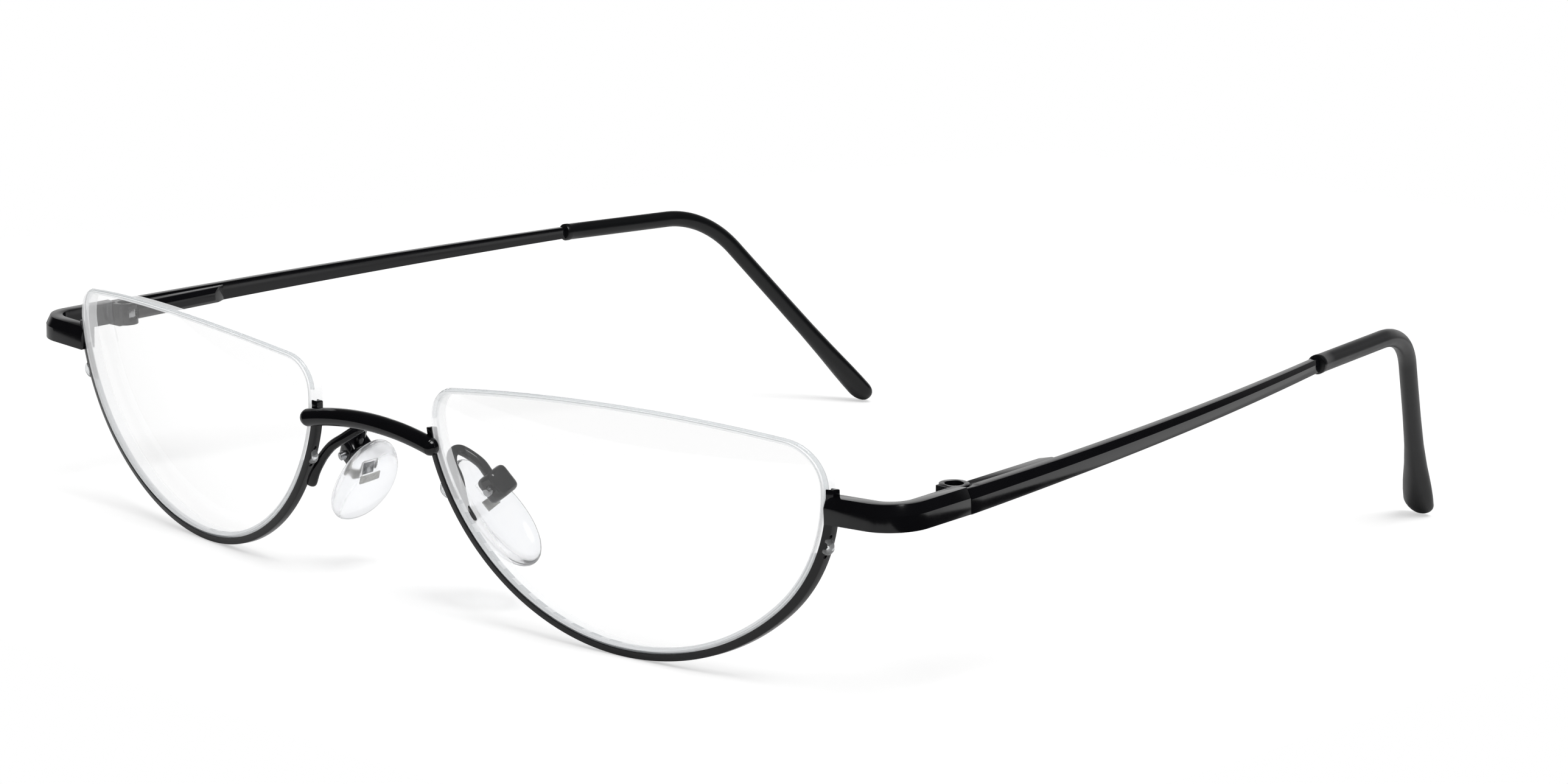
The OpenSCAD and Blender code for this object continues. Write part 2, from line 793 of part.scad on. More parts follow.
// Temple: bowed metal bar that tapers backwards and runs on as a core wire inside the tip
module temple(side) {
    color(black)
        on_side(side)
            translate(hinge)
                rotate([temple_rise, 0, 0]) {
                    temple_bar();
                    at_tip() {
                        tip_sweep(core_d / 2, core_drop);
                        rotate([90, 0, 0])
                            cylinder(r = core_d / 2, h = core_stub, $fn = 48);
                    }
                }
}

// Plastic tip: a sleeve over the core wire, bent down behind the ear and ending in a paddle
module temple_tip(side) {
    lip_l = 0.9;
    swell = 6;
    waist = tip_drop * 0.62;
    paddle_r = paddle_t / 2;
    waist_r = paddle_r - 0.05;
    color(tip_black)
        on_side(side)
            translate(hinge)
                rotate([temple_rise, 0, 0])
                    at_tip()
                        difference() {
                            union() {
                                tip_sweep(tip_d / 2, swell + 1);
                                rotate([-90, 0, 0])
                                    cylinder(r = tip_lip_d / 2, h = lip_l, $fn = 48);
                                translate([0, tip_straight, -tip_bend_r])
                                    rotate([-tip_bend, 0, 0])
                                        translate([0, 0, tip_bend_r])
                                            hull() {
                                                translate([0, swell, 0])
                                                    sphere(r = tip_d / 2, $fn = 32);
                                                translate([0, waist, 0])
                                                    sphere(r = waist_r, $fn = 32);
                                                for (x = [-paddle_off, paddle_off])
                                                    translate([x, tip_drop, 0])
                                                        sphere(r = paddle_r, $fn = 32);
                                            }
                            }
                            tip_sweep(core_d / 2 + seat_gap, core_drop + 0.5);
                        }
}

// Frame of a nose pad: origin on the pad screw, the nose at -X, the screw along Y, the pad along Z
module at_pad() {
    translate([pad_x, pad_y, pad_z])
        rotate([pad_lean, 0, 0])
            rotate([0, -pad_slope, 0])
                rotate([0, 0, pad_turn])
                    children();
}

function pad_frame(p) =
    [pad_x, pad_y, pad_z] + about_x(about_y(about_z(p, pad_turn), -pad_slope), pad_lean);

// Outline of the pad: an oval, fuller at its lower end
function pad_oval(l, w) = [
    for (i = [0 : 47]) let (t = i * 7.5)
        [w / 2 * sin(t) * (1 - 0.12 * cos(t)), l / 2 * cos(t) - pad_drop]
];

// The plate's oval inside the pad, grown by a margin
module pad_plate_shape(grow) {
    l = pad_l - 2 * (plate_edge_l - grow);
    w = pad_w - 2 * (plate_edge_w - grow);
    translate([pad_back - plate_in - plate_t / 2, 0, 0])
        rotate([90, 0, 90])
            linear_extrude(height = plate_t + 2 * grow, center = true)
                polygon(pad_oval(l, w));
}

// Nose pad: clear soft oval with a domed face towards the nose, moulded over its plate
module nose_pad(side) {
    dome_r = 16;
    neck = tab_t / 2 + seat_gap;
    mouth = 0.5;
    color(pad_clear)
        on_side(side)
            at_pad()
                difference() {
                    intersection() {
                        translate([pad_back, 0, 0])
                            rotate([90, 0, -90])
                                linear_extrude(height = pad_t)
                                    mirror([1, 0])
                                        polygon(pad_oval(pad_l, pad_w));
                        translate([pad_back - pad_t + dome_r, 0, -pad_drop])
                            sphere(r = dome_r, $fn = fine);
                    }
                    pad_plate_shape(seat_gap);
                    translate([pad_back - mouth, -neck, -tab_half - seat_gap])
                        cube([2 * mouth, 2 * neck, 2 * (tab_half + seat_gap)]);
                }
}

// Grey plate inside the pad, with the tab that the pad box holds
module pad_plate(side) {
    tab_from = pad_back - plate_in - plate_t / 4;
    color(steel)
        on_side(side)
            at_pad()
                difference() {
                    union() {
                        pad_plate_shape(0);
                        translate([tab_from, -tab_t / 2, -tab_half])
                            cube([-tab_from, tab_t, 2 * tab_half]);
                        rotate([90, 0, 0])
                            cylinder(r = tab_half, h = tab_t, center = true, $fn = 64);
                    }
                    rotate([90, 0, 0])
                        cylinder(r = pad_screw_r + running_gap, h = 10, center = true, $fn = 64);
                }
}

// Pad box: small cup on the end of the arm, slotted for the tab and bored for the screw
module pad_box(side) {
    slot = tab_t + 2 * running_gap;
    depth = box_reach + box_back;
    cut = 0.5;
    h = box_h / 2;
    w = box_w / 2;
    tab_room = 0.15;
    sink = pad_screw_head_h + 2 * seat_gap;
    color(black)
        on_side(side)
            at_pad()
                difference() {
                    intersection() {
                        translate([-box_reach, 0, 0])
                            rotate([90, 0, 90])
                                linear_extrude(height = depth)
                                    polygon([
                                        [-w, cut - h], [cut - w, -h], [w - cut, -h], [w, cut - h],
                                        [w, h - cut], [w - cut, h], [cut - w, h], [-w, h - cut],
                                    ]);
                        linear_extrude(height = span, center = true)
                            polygon([
                                [-box_reach, -w], [box_back - cut, -w], [box_back, cut - w],
                                [box_back, w - cut], [box_back - cut, w], [-box_reach, w],
                            ]);
                    }
                    translate([-5, -slot / 2, -5])
                        cube([5 + tab_half + tab_room, slot, 10]);
                    rotate([90, 0, 0])
                        cylinder(r = pad_screw_r + running_gap, h = 10, center = true, $fn = 64);
                    translate([0, w - sink, 0])
                        rotate([-90, 0, 0])
                            cylinder(r = pad_screw_head_r + seat_gap, h = 2, $fn = 64);
                }
}

// Pad screw: head sunk in the back of the box, thread showing at the front
module pad_screw(side) {
    w = box_w / 2;
    thread_out = 0.6;
    color(steel)
        on_side(side)
            at_pad()
                rotate([90, 0, 0]) {
                    translate([0, 0, seat_gap - w])
                        cylinder(r = pad_screw_r, h = 2 * w + thread_out, $fn = 64);
                    translate([0, 0, seat_gap - w])
                        cylinder(r = pad_screw_head_r, h = pad_screw_head_h, $fn = 64);
                }
}

// A smooth curve through the points of a way, with even steps between each two
function smooth_at(w, i, t) =
    let (
        a = w[max(i - 1, 0)],
        b = w[i],
        c = w[i + 1],
        d = w[min(i + 2, len(w) - 1)])
    0.5 * (2 * b + (c - a) * t + (2 * a - 5 * b + 4 * c - d) * t * t
        + (3 * b - a - 3 * c + d) * t * t * t);
function smooth(w, steps) = concat(
    [for (i = [0 : len(w) - 2]) for (s = [0 : steps - 1]) smooth_at(w, i, s / steps)],
    [w[len(w) - 1]]);

// A tube of round section swept along a way
module sweep(way, r, sides) {
    n = len(way);
    ring_points = [
        for (i = [0 : n - 1])
            let (
                ahead = way[min(i + 1, n - 1)] - way[max(i - 1, 0)],
                along = ahead / norm(ahead),
                flat = cross(along, [0, 1, 0]),
                u = flat / norm(flat),
                v = cross(along, u))
            for (k = [0 : sides - 1]) let (t = 360 * k / sides)
                way[i] + r * (cos(t) * u + sin(t) * v)
    ];
    walls = [
        for (i = [0 : n - 2]) for (k = [0 : sides - 1])
            let (a = i * sides + k, b = i * sides + (k + 1) % sides)
            for (f = [[a, b, b + sides], [a, b + sides, a + sides]]) f
    ];
    caps = [
        for (k = [1 : sides - 2]) each [
            [0, k + 1, k],
            [(n - 1) * sides, (n - 1) * sides + k, (n - 1) * sides + k + 1],
        ]
    ];
    polyhedron(points = ring_points, faces = concat(walls, caps));
}

// Pad arm: round wire soldered to the back of the rim, looped up and back to the pad box
module pad_arm(side) {
    color(black)
        on_side(side)
            difference() {
                sweep(smooth(arm_way, 5), arm_d / 2, 12);
                rim_space();
            }
}

bridge();
rim(left_side);  // left_rim
rim_liner(left_side);  // left_rim_liner
lens(left_side);  // left_lens
lens_line(left_side);  // left_lens_line
endpiece(left_side);  // left_endpiece
hinge_screw(left_side);  // left_hinge_screw
hinge_eye(left_side);  // left_hinge_eye
flex_spring(left_side);  // left_flex_spring
spring_stop(left_side);  // left_spring_stop
hinge_housing(left_side);  // left_hinge_housing
temple(left_side);  // left_temple
temple_tip(left_side);  // left_temple_tip
pad_arm(left_side);  // left_pad_arm
pad_box(left_side);  // left_pad_box
pad_screw(left_side);  // left_pad_screw
nose_pad(left_side);  // left_nose_pad
pad_plate(left_side);  // left_pad_plate
rim(right_side);  // right_rim
rim_liner(right_side);  // right_rim_liner
lens(right_side);  // right_lens
lens_line(right_side);  // right_lens_line
endpiece(right_side);  // right_endpiece
hinge_screw(right_side);  // right_hinge_screw
hinge_eye(right_side);  // right_hinge_eye
flex_spring(right_side);  // right_flex_spring
spring_stop(right_side);  // right_spring_stop
hinge_housing(right_side);  // right_hinge_housing
temple(right_side);  // right_temple
temple_tip(right_side);  // right_temple_tip
pad_arm(right_side);  // right_pad_arm
pad_box(right_side);  // right_pad_box
pad_screw(right_side);  // right_pad_screw
nose_pad(right_side);  // right_nose_pad
pad_plate(right_side);  // right_pad_plate
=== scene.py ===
import math

import bpy
from mathutils import Matrix, Vector


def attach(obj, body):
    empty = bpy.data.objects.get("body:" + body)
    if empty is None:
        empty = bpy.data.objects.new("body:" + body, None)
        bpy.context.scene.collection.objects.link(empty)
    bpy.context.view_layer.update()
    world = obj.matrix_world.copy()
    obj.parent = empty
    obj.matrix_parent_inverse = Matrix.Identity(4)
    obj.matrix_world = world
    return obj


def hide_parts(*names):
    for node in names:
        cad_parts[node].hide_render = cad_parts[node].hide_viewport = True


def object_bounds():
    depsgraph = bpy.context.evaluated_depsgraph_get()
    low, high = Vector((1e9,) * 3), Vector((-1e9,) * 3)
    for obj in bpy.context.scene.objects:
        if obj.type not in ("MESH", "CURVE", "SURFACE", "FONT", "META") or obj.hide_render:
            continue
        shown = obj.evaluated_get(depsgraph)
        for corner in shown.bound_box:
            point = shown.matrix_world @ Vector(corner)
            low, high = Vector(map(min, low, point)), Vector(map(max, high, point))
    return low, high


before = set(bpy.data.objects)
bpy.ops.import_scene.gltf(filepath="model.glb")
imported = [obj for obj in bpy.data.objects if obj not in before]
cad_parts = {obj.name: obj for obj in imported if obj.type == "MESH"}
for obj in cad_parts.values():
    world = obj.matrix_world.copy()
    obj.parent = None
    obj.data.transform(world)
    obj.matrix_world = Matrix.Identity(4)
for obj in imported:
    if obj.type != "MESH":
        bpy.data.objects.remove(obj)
cad_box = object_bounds()

# Camera
# A long lens looks down on the glasses from the front and the wearer's left, tilted a little.
# The focal length was solved in pixels of the 2576 pixel wide photograph.
photo_width = 2576
focal_pixels = 5700.5
camera_place = Vector((0.28005, -0.33434, 0.09504))
camera_yaw = math.radians(40.183)
camera_pitch = math.radians(10.202)
camera_roll = math.radians(3.099)

camera_data = bpy.data.cameras.new("camera")
camera_data.sensor_width = 36
camera_data.lens = camera_data.sensor_width * focal_pixels / photo_width
camera_data.clip_start = 0.01
camera = bpy.data.objects.new("camera", camera_data)
camera.matrix_world = (
    Matrix.Translation(camera_place)
    @ Matrix.Rotation(camera_yaw, 4, "Z")
    @ Matrix.Rotation(math.pi / 2 - camera_pitch, 4, "X")
    @ Matrix.Rotation(camera_roll, 4, "Z")
)
bpy.context.scene.collection.objects.link(camera)
bpy.context.scene.camera = camera

# Bridge
# One short bar of nickel silver, bowed upwards, its domed ends ground flat behind and soldered to
# the front of both rims. All the metal of the frame has the same baked black lacquer over it.
mm = 0.001


def linear(hex_colour):
    """An sRGB hex colour as the linear colour that a shader takes."""
    parts = [int(hex_colour[i : i + 2], 16) / 255 for i in (1, 3, 5)]
    return [p / 12.92 if p <= 0.04045 else ((p + 0.055) / 1.055) ** 2.4 for p in parts] + [1]


def new_tree(name):
    """A new material's empty node tree."""
    material = bpy.data.materials.new(name)
    material.use_nodes = True
    material.node_tree.nodes.clear()
    return material.node_tree


def add(tree, kind, settings=None, values=None, links=None):
    """Adds a shader node with its settings, its sockets' values and its links from other nodes."""
    node = tree.nodes.new("ShaderNode" + kind)
    for key, value in (settings or {}).items():
        setattr(node, key, value)
    for key, value in (values or {}).items():
        node.inputs[key].default_value = value
    for key, (source, output) in (links or {}).items():
        tree.links.new(source.outputs[output], node.inputs[key])
    return node


def start_clean():
    """Leaves nothing selected."""
    bpy.ops.object.select_all(action="DESELECT")


def pick(piece):
    """Makes a piece the only selected and active one."""
    start_clean()
    piece.select_set(True)
    bpy.context.view_layer.objects.active = piece


def merged_copy(node_name, name, join=0.0):
    """A copy of a CAD node with its loose triangles merged, and its flat faces whole if join is
    over 0."""
    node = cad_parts[node_name]
    piece = node.copy()
    piece.data = node.data.copy()
    piece.name = name
    piece.data.name = name
    bpy.context.scene.collection.objects.link(piece)
    pick(piece)
    bpy.ops.object.mode_set(mode="EDIT")
    bpy.ops.mesh.select_all(action="SELECT")
    bpy.ops.mesh.remove_doubles(threshold=0.001 * mm)
    if join:
        bpy.ops.mesh.dissolve_limited(angle_limit=math.radians(join))
    bpy.ops.object.mode_set(mode="OBJECT")
    return piece


def bevel_edges(piece, width, segments, angle=30):
    """Rounds the edges of a piece that are sharper than an angle."""
    pick(piece)
    bevel = piece.modifiers.new("rounded_edges", "BEVEL")
    bevel.width = width
    bevel.segments = segments
    bevel.limit_method = "ANGLE"
    bevel.angle_limit = math.radians(angle)
    bpy.ops.object.modifier_apply(modifier="rounded_edges")


def shade_smooth(piece, angle=30):
    """Shades a piece smooth, apart from edges that are sharper than an angle."""
    pick(piece)
    bpy.ops.object.shade_smooth_by_angle(angle=math.radians(angle))


def round_edges(piece, width, segments=2, angle=35):
    """Rounds a piece's sharp edges, then shades it smooth."""
    bevel_edges(piece, width, segments, angle)
    shade_smooth(piece)


def fit(piece, material, body, slot, *nodes):
    """Gives a finished piece its material, its body and the nodes that it stands for. The slot is not
    used.
    """
    piece.data.materials.clear()
    piece.data.materials.append(material)
    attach(piece, body)
    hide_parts(*nodes)


def pattern_scale(size):
    """The scale of a pattern whose grains are a size in millimetres apart."""
    return 1 / (size * mm)


# Baked lacquer sprayed on polished metal: deep black and glossy, with the faint ripple of spray.
spray_ripple = 0.714
spray_haze = 4.55
ripple_deep = 0.02
tree = new_tree("black_lacquer")
place = add(tree, "TexCoord")
ripple = add(
    tree, "TexNoise",
    values={"Scale": pattern_scale(spray_ripple), "Detail": 3}, links={"Vector": (place, "Object")},
)
haze = add(
    tree, "TexNoise",
    values={"Scale": pattern_scale(spray_haze), "Detail": 4}, links={"Vector": (place, "Object")},
)
gloss = add(
    tree, "MapRange",
    values={"From Min": 0.3, "From Max": 0.7, "To Min": 0.09, "To Max": 0.15},
    links={"Value": (haze, "Fac")},
)
shade = add(tree, "ValToRGB", links={"Fac": (haze, "Fac")})
shade.color_ramp.elements[0].color = linear("#08080a")
shade.color_ramp.elements[1].color = linear("#0e0e11")
orange_peel = add(
    tree, "Bump",
    values={"Strength": 0.06, "Distance": ripple_deep * mm}, links={"Height": (ripple, "Fac")},
)
lacquer = add(
    tree, "BsdfPrincipled",
    links={
        "Base Color": (shade, "Color"),
        "Roughness": (gloss, "Result"),
        "Normal": (orange_peel, "Normal"),
    },
)
add(tree, "OutputMaterial", links={"Surface": (lacquer, "BSDF")})
black_lacquer = bpy.data.materials["black_lacquer"]

bridge_round = 0.05
bridge_bar = merged_copy("bridge", "bridge_bar")
round_edges(bridge_bar, bridge_round * mm, angle=40)
fit(bridge_bar, black_lacquer, "front", "black_metal", "bridge")

# Rims
# Each lower rim is a drawn wire with a channel inside it, bent round the lens from beside the nose
# to the temple, then pressed to the curve of the front. Its two pairs of holes take the nylon line.
lens_width = 50
nose_gap = 20
lens_depth = 21.8
lens_rise = 5.45
low_x = 24.5
high_x = 29.7
side_nose = 15.5
side_temple = 19.3
corner_nose = 3.65
corner_temple = 4.55
rim_gap = 0.25
rim_thick = 0.85
rim_deep = 1.0
channel_deep = 0.42
channel_wide = 0.56
widest_z = rim_gap + rim_thick + lens_depth
foot_x = nose_gap / 2 + low_x
top_x = nose_gap / 2 + high_x

front_ball = 120
front_lean = math.radians(12)
front_wrap = math.radians(8)
middle_x = (nose_gap + lens_width) / 2
middle_z = rim_gap + rim_thick + (lens_depth + lens_rise) / 2
ball_x = middle_x - front_ball * math.sin(front_wrap)
ball_z = middle_z + front_ball * math.sin(front_lean)
ball_y = math.sqrt(front_ball**2 - (foot_x - ball_x) ** 2 - ball_z**2)

# The pieces that are drawn here are in millimetres, and to_frame brings them to the CAD frame. The
# bridge bar stands the furthest forward, so its front is the front of the CAD box.
bridge_bow = 6.85
bridge_bar_wide = 2.06
bridge_front = bridge_bow + bridge_bar_wide / 2
to_frame = Matrix.Translation((0, cad_box[0][1] + bridge_front * mm, 0)) @ Matrix.Scale(mm, 4)


def front_y(x, z, deep=0):
    """Depth of the curved front at a place, or of the layer that lies deep behind it."""
    return ball_y - math.sqrt((front_ball - deep) ** 2 - (x - ball_x) ** 2 - (z - ball_z) ** 2)


def flat_radius(across, down, side):
    """Radius of the flat arc that meets a side arc and stands square at the low or high point."""
    return (across**2 + down**2 - 2 * across * side) / (2 * (down - side))


def lens_arcs():
    """The lens outline as arcs, round from the widest point beside the nose by way of the foot:
    each is a middle, a radius and the angles it runs between, seen from the front."""
    arcs = []
    quarters = [
        (low_x, lens_depth, side_nose, foot_x, -1, -1),
        (lens_width - low_x, lens_depth, side_temple, foot_x, 1, -1),
        (lens_width - high_x, lens_rise, corner_temple, top_x, 1, 1),
        (high_x, lens_rise, corner_nose, top_x, -1, 1),
    ]
    for index, (across, down, side, x, way, up) in enumerate(quarters):
        flat = flat_radius(across, down, side)
        turn = math.degrees(math.atan2(across - side, flat - down))
        side_middle = (x + way * (across - side), widest_z)
        flat_middle = (x, widest_z + up * (down - flat))
        start = 180 + 90 * index
        if index % 2 == 0:
            arcs.append((side_middle, side, start, start + 90 - turn))
            arcs.append((flat_middle, flat, start + 90 - turn, start + 90))
        else:
            arcs.append((flat_middle, flat, start, start + turn))
            arcs.append((side_middle, side, start + turn, start + 90))
    return arcs


def new_mesh_piece(name):
    """An empty mesh object, made from a plane so that edit mode has somewhere to start."""
    start_clean()
    bpy.ops.mesh.primitive_plane_add(size=1)
    piece = bpy.context.object
    piece.name = name
    piece.data.name = name
    bpy.ops.object.mode_set(mode="EDIT")
    bpy.ops.mesh.select_all(action="SELECT")
    bpy.ops.mesh.delete(type="VERT")
    bpy.ops.object.mode_set(mode="OBJECT")
    return piece


def draw_section(piece, points):
    """Draws a wire's closed section."""
    mesh = piece.data
    mesh.vertices.add(len(points))
    for vertex, point in zip(mesh.vertices, points):
        vertex.co = point
    mesh.edges.add(len(points))
    for index in range(len(points)):
        mesh.edges[index].vertices = (index, (index + 1) % len(points))
    mesh.update()


def bend_round_lens(name, section, first, last, step=3, step_radius=12):
    """Spins a section round the lens outline between two angles. The section's points hold the
    distance out from the lens edge and the depth. A step is in degrees on an arc of step_radius."""
    piece = new_mesh_piece(name)
    arcs = [arc for arc in lens_arcs() if arc[3] > first and arc[2] < last]
    (x, z), radius, start, stop = arcs[0]
    angle = math.radians(max(start, first))
    points = [
        (
            x + (radius + out) * math.cos(angle),
            deep,
            z + (radius + out) * math.sin(angle),
        )
        for out, deep in section
    ]
    draw_section(piece, points)
    bpy.ops.object.mode_set(mode="EDIT")
    bpy.ops.mesh.select_all(action="SELECT")
    for (x, z), radius, start, stop in arcs:
        sweep = min(stop, last) - max(start, first)
        bpy.ops.mesh.spin(
            steps=max(2, round(sweep / step * radius / step_radius)),
            angle=math.radians(sweep),
            center=(x, 0, z),
            axis=(0, 1, 0),
        )
    bpy.ops.mesh.select_all(action="SELECT")
    bpy.ops.mesh.remove_doubles(threshold=0.001)
    bpy.ops.object.mode_set(mode="OBJECT")
    return piece


def press_to_front(piece):
    """Presses a flat piece to the ball that the front follows; its depth runs towards the ball."""
    for vertex in piece.data.vertices:
        x, deep, z = vertex.co
        vertex.co.y = front_y(x, z, deep)


def close_ends(piece):
    """Fills the open ends of a piece and turns all its faces outwards."""
    pick(piece)
    bpy.ops.object.mode_set(mode="EDIT")
    bpy.ops.mesh.select_all(action="SELECT")
    bpy.ops.mesh.fill_holes(sides=0)
    bpy.ops.mesh.select_all(action="SELECT")
    bpy.ops.mesh.normals_make_consistent(inside=False)
    bpy.ops.object.mode_set(mode="OBJECT")


def fit_both_sides(left, name, materials, body, slot, *nodes):
    """Places the finished left piece, and a mirrored copy of it on the right."""
    left.name = "left_" + name
    left.data.materials.clear()
    for material in materials:
        left.data.materials.append(material)
    left.data.transform(to_frame)
    right = left.copy()
    right.data = left.data.copy()
    right.name = "right_" + name
    right.data.transform(Matrix.Scale(-1, 4, (1, 0, 0)))
    right.data.flip_normals()
    bpy.context.scene.collection.objects.link(right)
    for side, piece in (("left_", left), ("right_", right)):
        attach(piece, body if body == "front" else side + body)
        if nodes:
            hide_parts(*[side + node for node in nodes])


def roll_up(name, rings):
    """Rolls a flat grid up into a closed skin that passes through rings of points."""
    start_clean()
    sides = len(rings[0])
    bpy.ops.mesh.primitive_grid_add(x_subdivisions=sides, y_subdivisions=len(rings) - 1, size=1)
    piece = bpy.context.object
    piece.name = name
    piece.data.name = name
    for index, vertex in enumerate(piece.data.vertices):
        ring, spot = divmod(index, sides + 1)
        vertex.co = rings[ring][spot % sides]
    bpy.ops.object.mode_set(mode="EDIT")
    bpy.ops.mesh.select_all(action="SELECT")
    bpy.ops.mesh.remove_doubles(threshold=0.0005)
    bpy.ops.object.mode_set(mode="OBJECT")
    close_ends(piece)
    return piece


def rings_along(way, section_at, across):
    """A ring of points round each place of a way. section_at gives the section there, measured
    across and square to that, and the first across is kept as nearly as the way lets it."""
    rings = []
    last = len(way) - 1
    for index, spot in enumerate(way):
        ahead = (way[min(index + 1, last)] - way[max(index - 1, 0)]).normalized()
        across = (across - ahead * across.dot(ahead)).normalized()
        square = ahead.cross(across)
        rings.append([spot + across * a + square * b for a, b in section_at(index)])
    return rings


def oval(wide, high, sides=20):
    """The points of an oval section."""
    turns = [2 * math.pi * k / sides for k in range(sides)]
    return [(wide * math.cos(t), high * math.sin(t)) for t in turns]


def beside_rim(way, z, out):
    """A point out from the lens edge at a height, level with the rim's middle, on the side of the
    nose (way -1) or of the temple (way 1)."""
    arcs = lens_arcs()
    for (x, middle_height), radius, start, stop in arcs[:2] if way < 0 else arcs[2:4]:
        fall = math.degrees(math.asin(min(1, (middle_height - z) / radius)))
        angle = 180 + fall if way < 0 else 360 - fall
        if start <= angle <= stop:
            turn = math.radians(angle)
            spots = [
                (x + (radius + far) * math.cos(turn), middle_height + (radius + far) * math.sin(turn))
                for far in (out, rim_gap)
            ]
            return Vector((spots[0][0], front_y(*spots[1]), spots[0][1]))


def combine(piece, tool, operation):
    """Joins a tool to a piece or cuts it away, and removes the tool."""
    pick(piece)
    change = piece.modifiers.new("combine", "BOOLEAN")
    change.operation = operation
    change.solver = "EXACT"
    change.object = tool
    bpy.ops.object.modifier_apply(modifier="combine")
    bpy.data.objects.remove(tool)


rim_half = rim_deep / 2
half_channel = channel_wide / 2
rim_outer = rim_gap + rim_thick
channel_floor = rim_gap + channel_deep
hole_r = 0.22
hole_apart = 1.08
loop_half = 0.55
drill_past = 0.2
rim_round = 0.12
rim_from = 184.2
rim_to = 360
nose_knot_z = 15.3
temple_knot_z = 17
knots = ((-1, nose_knot_z), (1, temple_knot_z))
rim_section = [
    (rim_gap, -rim_half),
    (rim_outer, -rim_half),
    (rim_outer, rim_half),
    (rim_gap, rim_half),
    (rim_gap, half_channel),
    (channel_floor, half_channel),
    (channel_floor, -half_channel),
    (rim_gap, -half_channel),
]
rim = bend_round_lens("rim", rim_section, first=rim_from, last=rim_to)
press_to_front(rim)
close_ends(rim)
round_edges(rim, rim_round, segments=3)
for way, z in knots:
    for height in (z + hole_apart, z + loop_half, z - loop_half, z - hole_apart):
        outs = (channel_floor - drill_past, rim_outer + drill_past)
        ends = [beside_rim(way, height, out) for out in outs]
        drill = roll_up(
            "drill", rings_along(ends, lambda index: oval(hole_r, hole_r, 16), Vector((0, 1, 0)))
        )
        combine(rim, drill, "DIFFERENCE")
shade_smooth(rim)
fit_both_sides(rim, "lower_rim", [black_lacquer], "front", "black_metal", "rim")

# Rim liners
# A clear plastic strip is pressed into each rim's channel and stands in the groove of the lens.
# It cushions the lens edge and shows as a thin light line inside the black rim.
liner_round = 0.03

# Extruded clear plastic, milky and satin from the die, so it looks nearly white.
tree = new_tree("clear_strip")
strip = add(
    tree, "BsdfPrincipled",
    values={
        "Base Color": linear("#f3f5f6"),
        "Roughness": 0.35,
        "IOR": 1.49,
        "Transmission Weight": 0.3,
    },
)
add(tree, "OutputMaterial", links={"Surface": (strip, "BSDF")})
for side in ("left_", "right_"):
    liner = merged_copy(side + "rim_liner", side + "liner_strip")
    round_edges(liner, liner_round * mm, segments=1, angle=60)
    fit(liner, bpy.data.materials["clear_strip"], "front", "clear_strip", side + "rim_liner")

# Lenses
# Cast lens resin, ground to shape with its faces polished and its edge left as ground, with a fine
# bevel on both sides. The groove for the liner and the line runs round the edge near the front.
lens_front = 0.6
lens_back = 2.2
lens_back_ball = 150
groove_deep = 0.4
lens_bevel = 0.1
back_bevel = 0.16


def outline_points(inset, step=2.5, step_radius=15):
    """Points round the lens outline, drawn in by inset. A step is in degrees on an arc of
    step_radius."""
    points = []
    for (x, z), radius, start, stop in lens_arcs():
        count = max(3, round((stop - start) / step * radius / step_radius))
        for index in range(count):
            angle = math.radians(start + (stop - start) * index / count)
            points.append(
                (x + (radius - inset) * math.cos(angle), z + (radius - inset) * math.sin(angle))
            )
    return points


lens_middle = Vector((middle_x, front_y(middle_x, middle_z), middle_z))
back_way = (Vector((ball_x, ball_y, ball_z)) - lens_middle) / front_ball
back_ball = lens_middle + (lens_back + lens_back_ball) * back_way


def back_y(x, z):
    """Depth of the lens's hollow back face."""
    flat = (x - back_ball.x) ** 2 + (z - back_ball.z) ** 2
    return back_ball.y - math.sqrt(lens_back_ball**2 - flat)


def drawn_in(share):
    """The outline shrunk towards the middle of the lens."""
    return [
        (middle_x + (x - middle_x) * share, middle_z + (z - middle_z) * share)
        for x, z in outline_points(lens_bevel)
    ]


edge = outline_points(0)
bevelled = outline_points(lens_bevel)
groove = outline_points(groove_deep)

# Rings from the middle of the front face out to its bevel, over the edge with its groove, and back
# in over the rear face.
shares = [0.001, 0.2, 0.4, 0.6, 0.75, 0.88, 0.96]
lens_rings = [[(x, front_y(x, z, -lens_front), z) for x, z in drawn_in(s)] for s in shares]
lens_rings.append([(x, front_y(x, z, -lens_front), z) for x, z in bevelled])
lens_rings.append([(x, front_y(x, z, lens_bevel - lens_front), z) for x, z in edge])
lens_rings.append([(x, front_y(x, z, -half_channel), z) for x, z in edge])
lens_rings.append([(x, front_y(x, z, -half_channel), z) for x, z in groove])
lens_rings.append([(x, front_y(x, z, half_channel), z) for x, z in groove])
lens_rings.append([(x, front_y(x, z, half_channel), z) for x, z in edge])
lens_rings.append([(x, back_y(x, z) - back_bevel, z) for x, z in edge])
lens_rings.append([(x, back_y(x, z), z) for x, z in bevelled])
lens_rings += [[(x, back_y(x, z), z) for x, z in drawn_in(s)] for s in reversed(shares)]
lens = roll_up("lens", lens_rings)

# Polished resin: clear, with a mirror gloss that grows towards grazing view.
tree = new_tree("polished_lens_resin")
turned_away = add(tree, "LayerWeight", values={"Blend": 0.5})
steep = add(
    tree, "Math", settings={"operation": "POWER"}, values={1: 5}, links={0: (turned_away, "Facing")}
)
mirrored = add(
    tree, "MapRange", values={"To Min": 0.06, "To Max": 0.9}, links={"Value": (steep, 0)}
)
through = add(tree, "BsdfTransparent")
polish = add(tree, "BsdfGlossy", values={"Color": (1, 1, 1, 1), "Roughness": 0.02})
skin = add(tree, "MixShader", links={0: (mirrored, "Result"), 1: (through, 0), 2: (polish, 0)})
add(tree, "OutputMaterial", links={"Surface": (skin, 0)})
